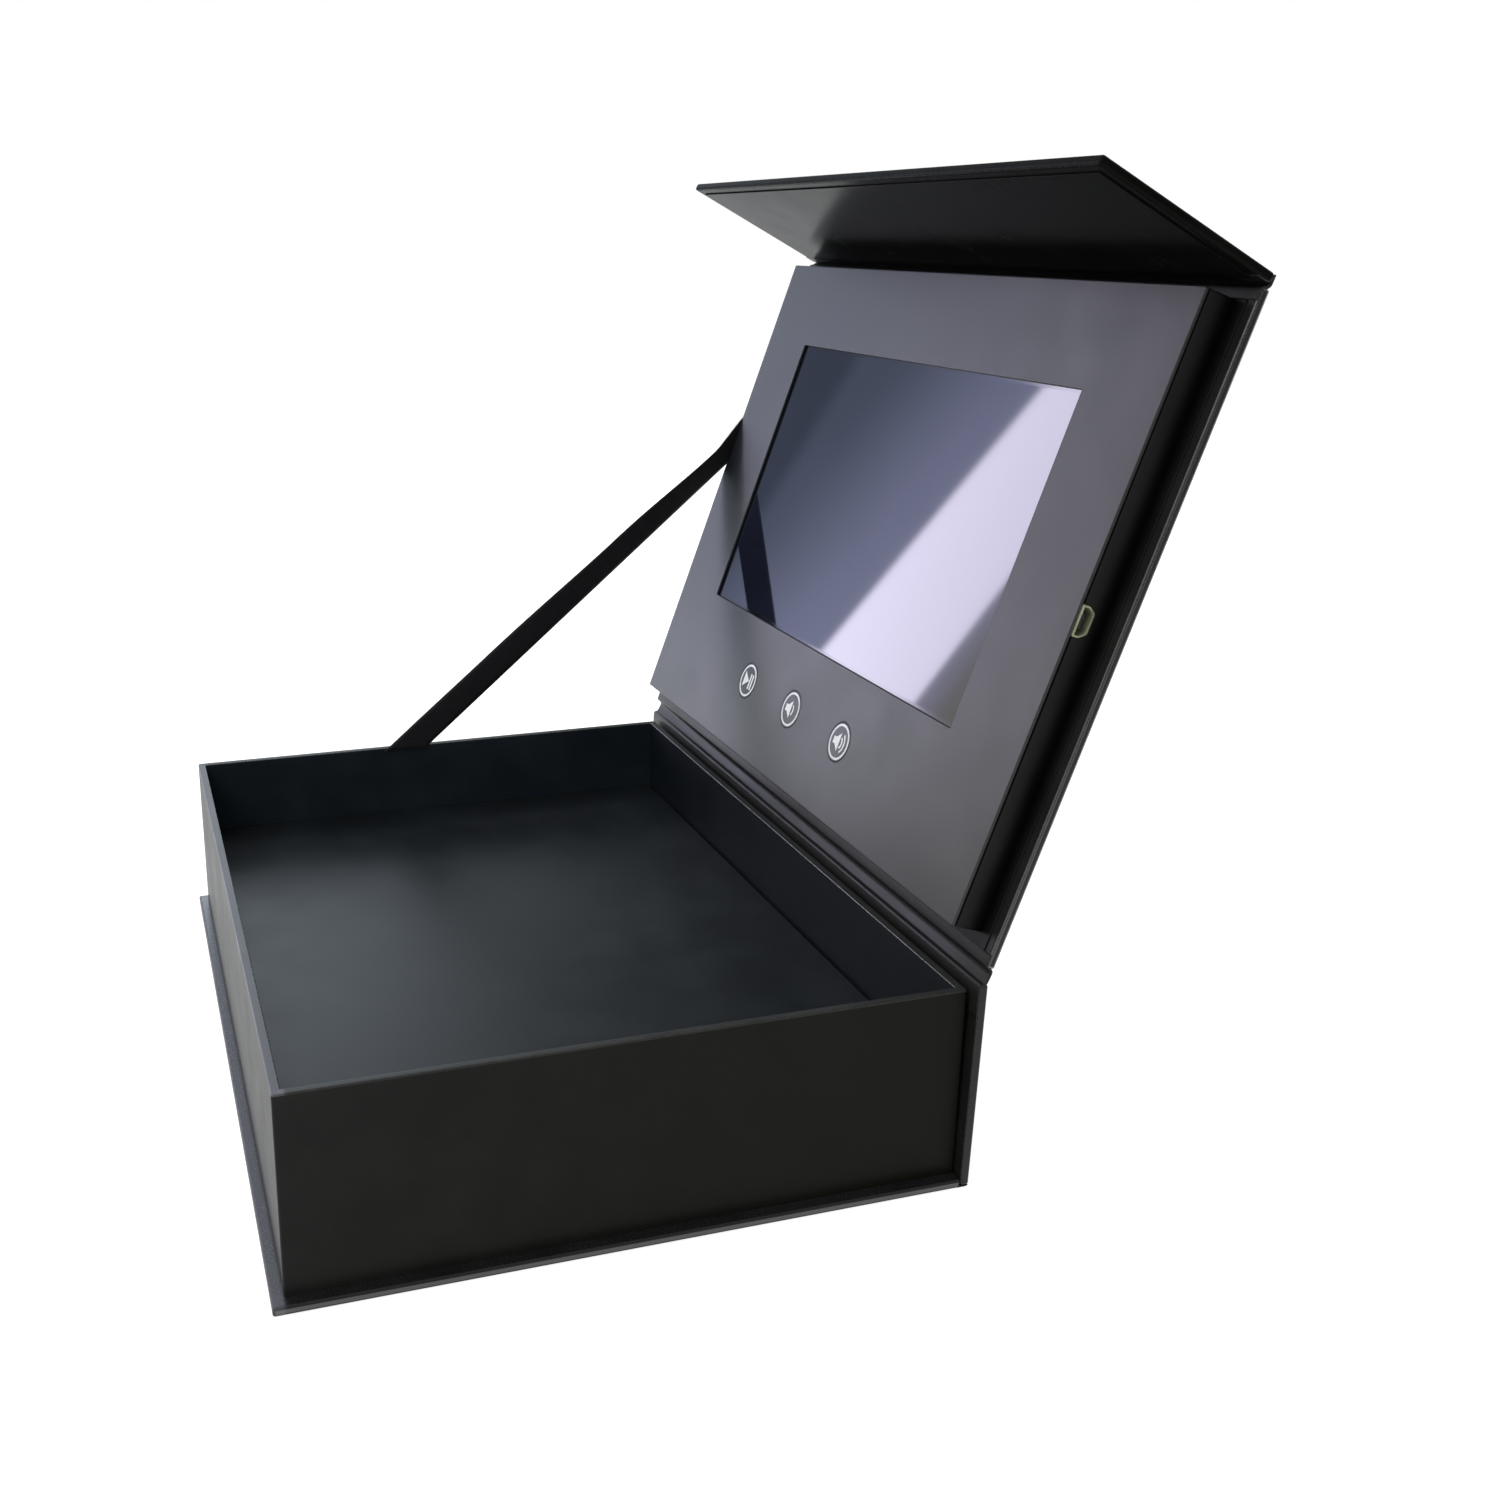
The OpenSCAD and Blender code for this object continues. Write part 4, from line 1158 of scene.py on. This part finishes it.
def buildPanelWalls():
    # side walls as one folded frame, and a stepped-in one below the front card in near-black card, painted
    # shade under the card's edge
    p = panel
    step = faceIn - p["rebate"]
    levels = (
        (p["wallInset"], box["panelBack"], step, p["wallBevel"]),
        (p["rebate"], step - p["rebateLap"], faceIn - p["rebateGap"], p["rebateBevel"]),
    )
    inner = panelOutline(box["rail"], p["innerCorner"])
    frames = []
    for slot, (inset, low, high, bevel) in enumerate(levels):
        wall = plateFromOutlines([panelOutline(inset, p["wallCorner"]), inner], low, high, bevel)
        paint(wall, slot)
        frame = addPiece("frame", wall, [panelSide, blackCardAndShade], Matrix.Identity(4))
        cutter = socketHole()
        cut = frame.modifiers.new("socket hole", "BOOLEAN")
        cut.operation, cut.object, cut.solver = "DIFFERENCE", cutter, "EXACT"
        frames.append(shapeOf(settle(frame)))
        bpy.data.objects.remove(cutter)
    piece = addPiece("panel_walls", joined(*frames), [panelSide, blackCardAndShade], onLid)
    rails = ("panel_rail_left", "panel_rail_right", "panel_rail_top", "panel_rail_bottom")
    finishSet(soften(piece), "lid", "panel_card", *rails)


# glass behind the window, with the dark border printed round the picture area
screen = {
    "thick": 1.2, "past": 5.6, "radius": 0.15, "sunk": 0.03, "print": 0.008,
    "printEdge": 0.3, "printInto": 0.9,
}


def rectangle(x, y0, y1):
    return [(-x, y0), (x, y0), (x, y1), (-x, y1)]


def buildScreen():
    c = screen
    x, low, high = panel["windowHalf"] + c["past"], panel["windowStart"] - c["past"], windowEnd + c["past"]
    top, into, edge = faceIn - c["sunk"], c["printInto"], c["printEdge"]
    plate = softBlock((-x, low, faceIn - c["thick"]), (x, high, top), c["radius"], 2, 0)
    outline = rectangle(x - edge, low + edge, high - edge)
    hole = rectangle(panel["windowHalf"] - into, panel["windowStart"] + into, windowEnd - into)
    border = bmesh.new()
    rings = [[border.verts.new((a, b, z)) for a, b in points]
             for z in (top + c["print"], top) for points in (outline, hole)]
    # outline and hole of the upper side, then of the lower side
    loft(border, [rings[k] for k in (0, 1, 3, 2, 0)])
    paint(border, 1)
    piece = addPiece("screen_front", joined(plate, border), [screenGlass, glassBorder], onLid)
    finishSet(soften(piece), "lid", "screen_glass", "screen_glass")


buildFront()
buildPanelWalls()
buildScreen()
print("panel and screen built")


# keys: a cap in the front card, and a hidden rim and a stem below it
key = {
    "capDepth": 2.0, "capBevel": 0.14, "rimWidth": 1.35, "rimSpan": (0.68, 0.08),
    "stemRadius": 1.55, "stemSpan": (2.95, 0.5), "bevel": 0.1,
}
# their printed signs, a ring with a sign in it
signs = {
    "ring": 4.78, "line": 0.64, "sunk": 0.02, "raise": 0.035, "bevel": 0.01, "size": 1.06,
    "waves": {"quieter": (1.85,), "louder": (1.85, 3.1)}, "waveAt": -0.35, "wave": 0.55, "waveAngle": 50,
}


def arcStrip(x, radius, line, angle, steps=14):
    turns = [math.radians(angle * (2 * k / steps - 1)) for k in range(steps + 1)]
    outer, inner = ([(x + r * math.cos(a), r * math.sin(a)) for a in turns]
                    for r in (radius + line / 2, radius - line / 2))
    return outer + inner[::-1]


def signOutlines(kind):
    if kind == "play":
        return [[(-2.8, -2.3), (0.6, 0.0), (-2.8, 2.3)],
                [(0.85, -2.3), (1.6, -2.3), (1.6, 2.3), (0.85, 2.3)],
                [(2.2, -2.3), (2.95, -2.3), (2.95, 2.3), (2.2, 2.3)]]
    speaker = [(-3.0, -0.95), (-1.75, -0.95), (0.15, -2.5), (0.15, 2.5), (-1.75, 0.95), (-3.0, 0.95)]
    waves = [arcStrip(signs["waveAt"], r, signs["wave"], signs["waveAngle"]) for r in signs["waves"][kind]]
    return [speaker, *waves]


def buildKey(name, place, kind, node, body):
    top, up, r = box["panelFace"], panel["keyUp"], panel["keyRadius"]
    x = place * panel["keyPitch"] - panel["keyShift"]

    def below(span):
        return [faceIn - depth for depth in span]

    cap = plateFromOutlines([circle(x, up, r)], top - key["capDepth"], top, key["capBevel"])
    rim = plateFromOutlines([circle(x, up, r + key["rimWidth"], 48)], *below(key["rimSpan"]), key["bevel"])
    stem = plateFromOutlines([circle(x, up, key["stemRadius"], 32)], *below(key["stemSpan"]), key["bevel"])
    half = signs["line"] / 2
    drawings = [[circle(x, up, signs["ring"] + half), circle(x, up, signs["ring"] - half)]]
    for points in signOutlines(kind):
        drawings.append([[(x + a * signs["size"], up + b * signs["size"]) for a, b in points]])
    inks = [plateFromOutlines(drawing, top - signs["sunk"], top + signs["raise"], signs["bevel"], 0)
            for drawing in drawings]
    for ink in inks:
        paint(ink, 1)
    piece = addPiece(name, joined(cap, rim, stem, *inks), [panelCard, signInk], onLid)
    finishSet(soften(piece, 50), body, "key_cap", node)


buildKey("play_sign_key", -1, "play", "play_key", "play_button")
buildKey("quieter_sign_key", 0, "quieter", "volume_down_key", "volume_down_button")
buildKey("louder_sign_key", 1, "louder", "volume_up_key", "volume_up_button")
print("keys built")


# charging socket: a metal shell that ends in a rounded rim, with a tongue and its contacts
socket = {
    "depth": 9.0, "proud": 0.3, "sheet": 0.6, "soft": 0.6, "innerSoft": 0.4,
    "backNarrow": 0.3, "backRound": 0.2, "backSoft": 0.5,
    "lipNarrow": 0.2, "lipSoft": (0.55, 0.45), "lipRound": (0.12, 0.14),
    "tongueHalf": 1.92, "tongueThick": 0.86, "tongueSpan": (8.6, 1.2), "tongueRadius": 0.14,
    "contacts": 5, "pitch": 0.8, "length": 5.6, "width": 0.34, "thick": 0.12, "bow": 0.10,
    "contactMiddle": 4.6, "contactSunk": 0.02,
}


def contactTree(material):
    # a row of bars along Y, each bowed up towards its middle
    numbers = ("pitch", "length", "width", "thick", "bow")
    wire, inputs = newTree("socket contacts", {"Float": numbers, "Int": ("contacts",)})
    pitch, length, width, thick, bow, count = inputs
    half = (count - 1) * pitch / 2
    first = wire.node("ShaderNodeCombineXYZ", {}, {1: half * -1})
    apart = wire.node("ShaderNodeCombineXYZ", {}, {1: pitch})
    line = {"Count": count, "Start Location": first, "Offset": apart}
    row = wire.node("GeometryNodeMeshLine", {"mode": "OFFSET"}, line)
    size = wire.node("ShaderNodeCombineXYZ", {}, {0: length, 1: width, 2: thick})
    bar = wire.node("GeometryNodeMeshCube", {}, {"Size": size, "Vertices X": 6})
    along = wire.node("ShaderNodeSeparateXYZ", {}, {0: wire.node("GeometryNodeInputPosition")})
    share = (along / length * 2).abs()
    lift = wire.node("ShaderNodeCombineXYZ", {}, {2: (1 - share.math("POWER", share, 2.0)) * bow})
    bent = wire.node("GeometryNodeSetPosition", {}, {"Geometry": bar, "Offset": lift})
    placed = wire.node("GeometryNodeInstanceOnPoints", {}, {"Points": row, "Instance": bent})
    return endTree(wire, placed, material)


def buildSocket():
    c = socket
    inside, depth = 2 * c["sheet"], c["depth"]
    mouth, middle = panelX1 + c["proud"], faceIn - panel["socketHigh"] / 2
    lip, (outerLip, innerLip), (outerRound, innerRound) = c["lipNarrow"], c["lipSoft"], c["lipRound"]
    # from the back along the outside, over the lip and in again: narrower by, softness, behind the mouth
    stations = [
        (c["backNarrow"], c["backSoft"], depth), (0, c["soft"], depth - c["backRound"]),
        (0, c["soft"], outerRound), (lip, outerLip, 0), (inside - lip, innerLip, 0),
        (inside, c["innerSoft"], innerRound), (inside, c["innerSoft"], depth - c["sheet"]),
    ]
    shape = bmesh.new()
    rings = []
    for narrower, soft, back in stations:
        points = socketOutline(panel["socketWide"] - narrower, panel["socketHigh"] - narrower, soft)
        rings.append([shape.verts.new((mouth - back, panel["socketUp"] + a, middle + b)) for a, b in points])
    loft(shape, rings)
    shape.faces.new(rings[0][::-1])
    shape.faces.new(rings[-1])
    piece = addPiece("socket_rim", shape, [socketMetal], onLid)
    finishSet(soften(piece, 50), "lid", "socket_metal", "socket_shell")


def buildTongue():
    c, up = socket, panel["socketUp"]
    mouth, middle = panelX1 + c["proud"], faceIn - panel["socketHigh"] / 2
    low, high = middle - c["tongueThick"] / 2, middle + c["tongueThick"] / 2
    back, front = (mouth - depth for depth in c["tongueSpan"])
    near, far = (back, up - c["tongueHalf"], low), (front, up + c["tongueHalf"], high)
    tongue = softBlock(near, far, c["tongueRadius"], 2, 0)
    bars = grow("contacts", contactTree(contactGold), c)
    bars.transform(Matrix.Translation((mouth - c["contactMiddle"], up, low - c["contactSunk"])))
    paint(bars, 1)
    piece = addPiece("socket_insert", joined(tongue, bars), [blackPlastic, contactGold], onLid)
    finishSet(soften(piece, 50), "lid", "chip_plastic", "socket_tongue")


buildSocket()
buildTongue()
print("socket built")


# holding strap: a woven ribbon from the left wall's rim to the lid; twist is (share of run, degrees)
strap = {
    "width": 9.3, "thick": 0.42, "belly": 0.45, "columns": 8, "steps": 110,
    "tail": 1.6, "rimY": 9.9, "wallGap": 0.26, "lidUp": 112.6, "lidGap": 0.3,
    "twist": [(0.0, 0), (0.25, 4), (0.6, 18), (0.86, 32), (0.95, 12), (1.0, 8)],
    "cutRun": 22, "lidCut": 1.45, "underRim": 2.5, "bendShare": 0.34,
    "loop": 0.16, "loops": 330, "loopInset": 0.05, "loopsFrom": 3.5, "loopsShort": 7,
}


def between(table, x):
    # eased value between the pairs of a short table
    for (x0, a), (x1, b) in zip(table, table[1:]):
        if x <= x1:
            t = max(0.0, (x - x0) / (x1 - x0))
            return a + (b - a) * t * t * (3 - 2 * t)
    return table[-1][1]


def strapLine():
    # places, cross directions and distances from the tail below the rim to the lid
    low = Vector((-wallInX + strap["wallGap"], -strap["rimY"], rimZ))
    high = onLid @ Vector((0, strap["lidUp"], box["panelBack"] + strap["lidGap"])) / mm
    high.x = low.x
    run = (high - low).length
    along = (high - low).normalized()
    across = Vector((0, -along.z, along.y))
    half, tail = strap["width"] / 2, strap["tail"]
    stations = []
    for k in range(strap["steps"] + 1):
        d = (run + tail) * k / strap["steps"] - tail
        swing = math.radians(between(strap["twist"], max(0.0, d / run)))
        side = across * math.cos(swing) + Vector((1, 0, 0)) * math.sin(swing)
        # the strap turns about its lower edge, which stays beside the wall
        stations.append((low + along * d + (side - across) * half, side, d))
    return stations, along, run


def edgeTree(material):
    # a row of loops along both edges of a line that knows its cross directions
    numbers = ("width", "loop", "loopInset")
    wire, inputs = newTree("strap edges", {"Geometry": ("line",), "Float": numbers, "Int": ("loops",)})
    line, width, loop, inset, count = inputs
    side = wire.node("GeometryNodeInputNamedAttribute", {"data_type": "FLOAT_VECTOR"}, {0: "side"})
    curve = wire.node("GeometryNodeMeshToCurve", {}, {0: line})
    both = wire.tree.nodes.new("GeometryNodeJoinGeometry")
    for share in (-0.5, 0.5):
        scale = (width - inset * 2) * share
        offset = wire.node("ShaderNodeVectorMath", {"operation": "SCALE"}, {0: side, "Scale": scale})
        moved = wire.node("GeometryNodeSetPosition", {}, {"Geometry": curve, "Offset": offset})
        dots = wire.node("GeometryNodeCurveToPoints", {"mode": "COUNT"}, {"Curve": moved, "Count": count})
        wire.tree.links.new(dots.socket, both.inputs[0])
    ball = wire.node("GeometryNodeMeshIcoSphere", {}, {"Radius": loop, "Subdivisions": 1})
    rows = {"Points": Wire(wire.tree, both.outputs[0]), "Instance": ball}
    return endTree(wire, wire.node("GeometryNodeInstanceOnPoints", {}, rows), material)


def strapEdges(stations, run):
    inside = [s for s in stations if strap["loopsFrom"] < s[2] < run - strap["loopsShort"]]
    guide = bpy.data.meshes.new("guide")
    guide.from_pydata([s[0] for s in inside], [(i, i + 1) for i in range(len(inside) - 1)], [])
    sides = guide.attributes.new("side", "FLOAT_VECTOR", "POINT")
    sides.data.foreach_set("vector", [value for s in inside for value in s[1]])
    loops = grow("loops", edgeTree(ribbonSelvedge), strap, guide)
    for face in loops.faces:
        face.material_index, face.smooth = 1, True
    return loops


def sweptRibbon(stations, along, run):
    # the section is thicker in its middle, and the ends are cut along the rim and the lid
    c, columns = strap, strap["columns"]
    half, thick = c["width"] / 2, c["thick"] / 2
    shape = bmesh.new()
    alongLayer = shape.verts.layers.float.new("along")
    acrossLayer = shape.verts.layers.float.new("across")
    rings = []
    for place, side, d in stations:
        flat = side.cross(along).normalized()
        nearLid = min(1.0, max(0.0, (d - (run - c["cutRun"])) / c["cutRun"]))
        nearRim = max(0.0, 1 - (d + c["tail"]) / c["cutRun"])
        cut = nearLid * c["lidCut"] - nearRim * side.z / along.z
        ring = []
        for level in (-1, 1):
            for k in range(columns + 1):
                share = (1 - 2 * k / columns) * level
                reach = half * share
                belly = thick * (1 - c["belly"] * share * share)
                vert = shape.verts.new(place + side * reach + along * (cut * reach) + flat * (belly * level))
                vert[alongLayer] = (d + reach * nearLid) * mm
                vert[acrossLayer] = (share + 1) / 2
                ring.append(vert)
        rings.append(ring)
    closedBand(shape, rings)
    return shape


def buildStrap():
    stations, along, run = strapLine()
    ribbon = joined(sweptRibbon(stations, along, run), strapEdges(stations, run))
    piece = addPiece("holding_strap", ribbon, [ribbonBody, ribbonSelvedge])
    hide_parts("strap")
    # works out the stretch from just under the rim to a third of its run, which nothing uses
    rim = stations[0][0] + along * strap["tail"]
    low, high = rim - along * strap["underRim"], rim + along * (run * strap["bendShare"])
    tuple(low * mm)
    tuple(high * mm)
    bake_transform(piece)


buildStrap()
print("strap built")


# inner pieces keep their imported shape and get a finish
innerFinish = {
    "tray_floor": greyBoard, "floor_rib": greyBoard, "catch_plates": plateSteel,
    "screen_backlight": lightGuide, "screen_frame": plateSteel,
    "screen_pads": foamGrey, "screen_flex": flexFilm,
    "driver_board": solderMask, "driver_chips": blackPlastic, "driver_pads": foamGrey,
    "key_board": solderMask, "key_switches": blackPlastic, "key_shim": greyBoard,
    "cell": cellFoil, "cell_lead": leadRubber, "speaker": blackPlastic, "speaker_lead": leadRubber,
    "flap_magnets": magnetNickel,
}
for name, material in innerFinish.items():
    mesh = frame["nodes"][name].data
    mesh.materials.clear()
    mesh.materials.append(material)
print("inner pieces finished")
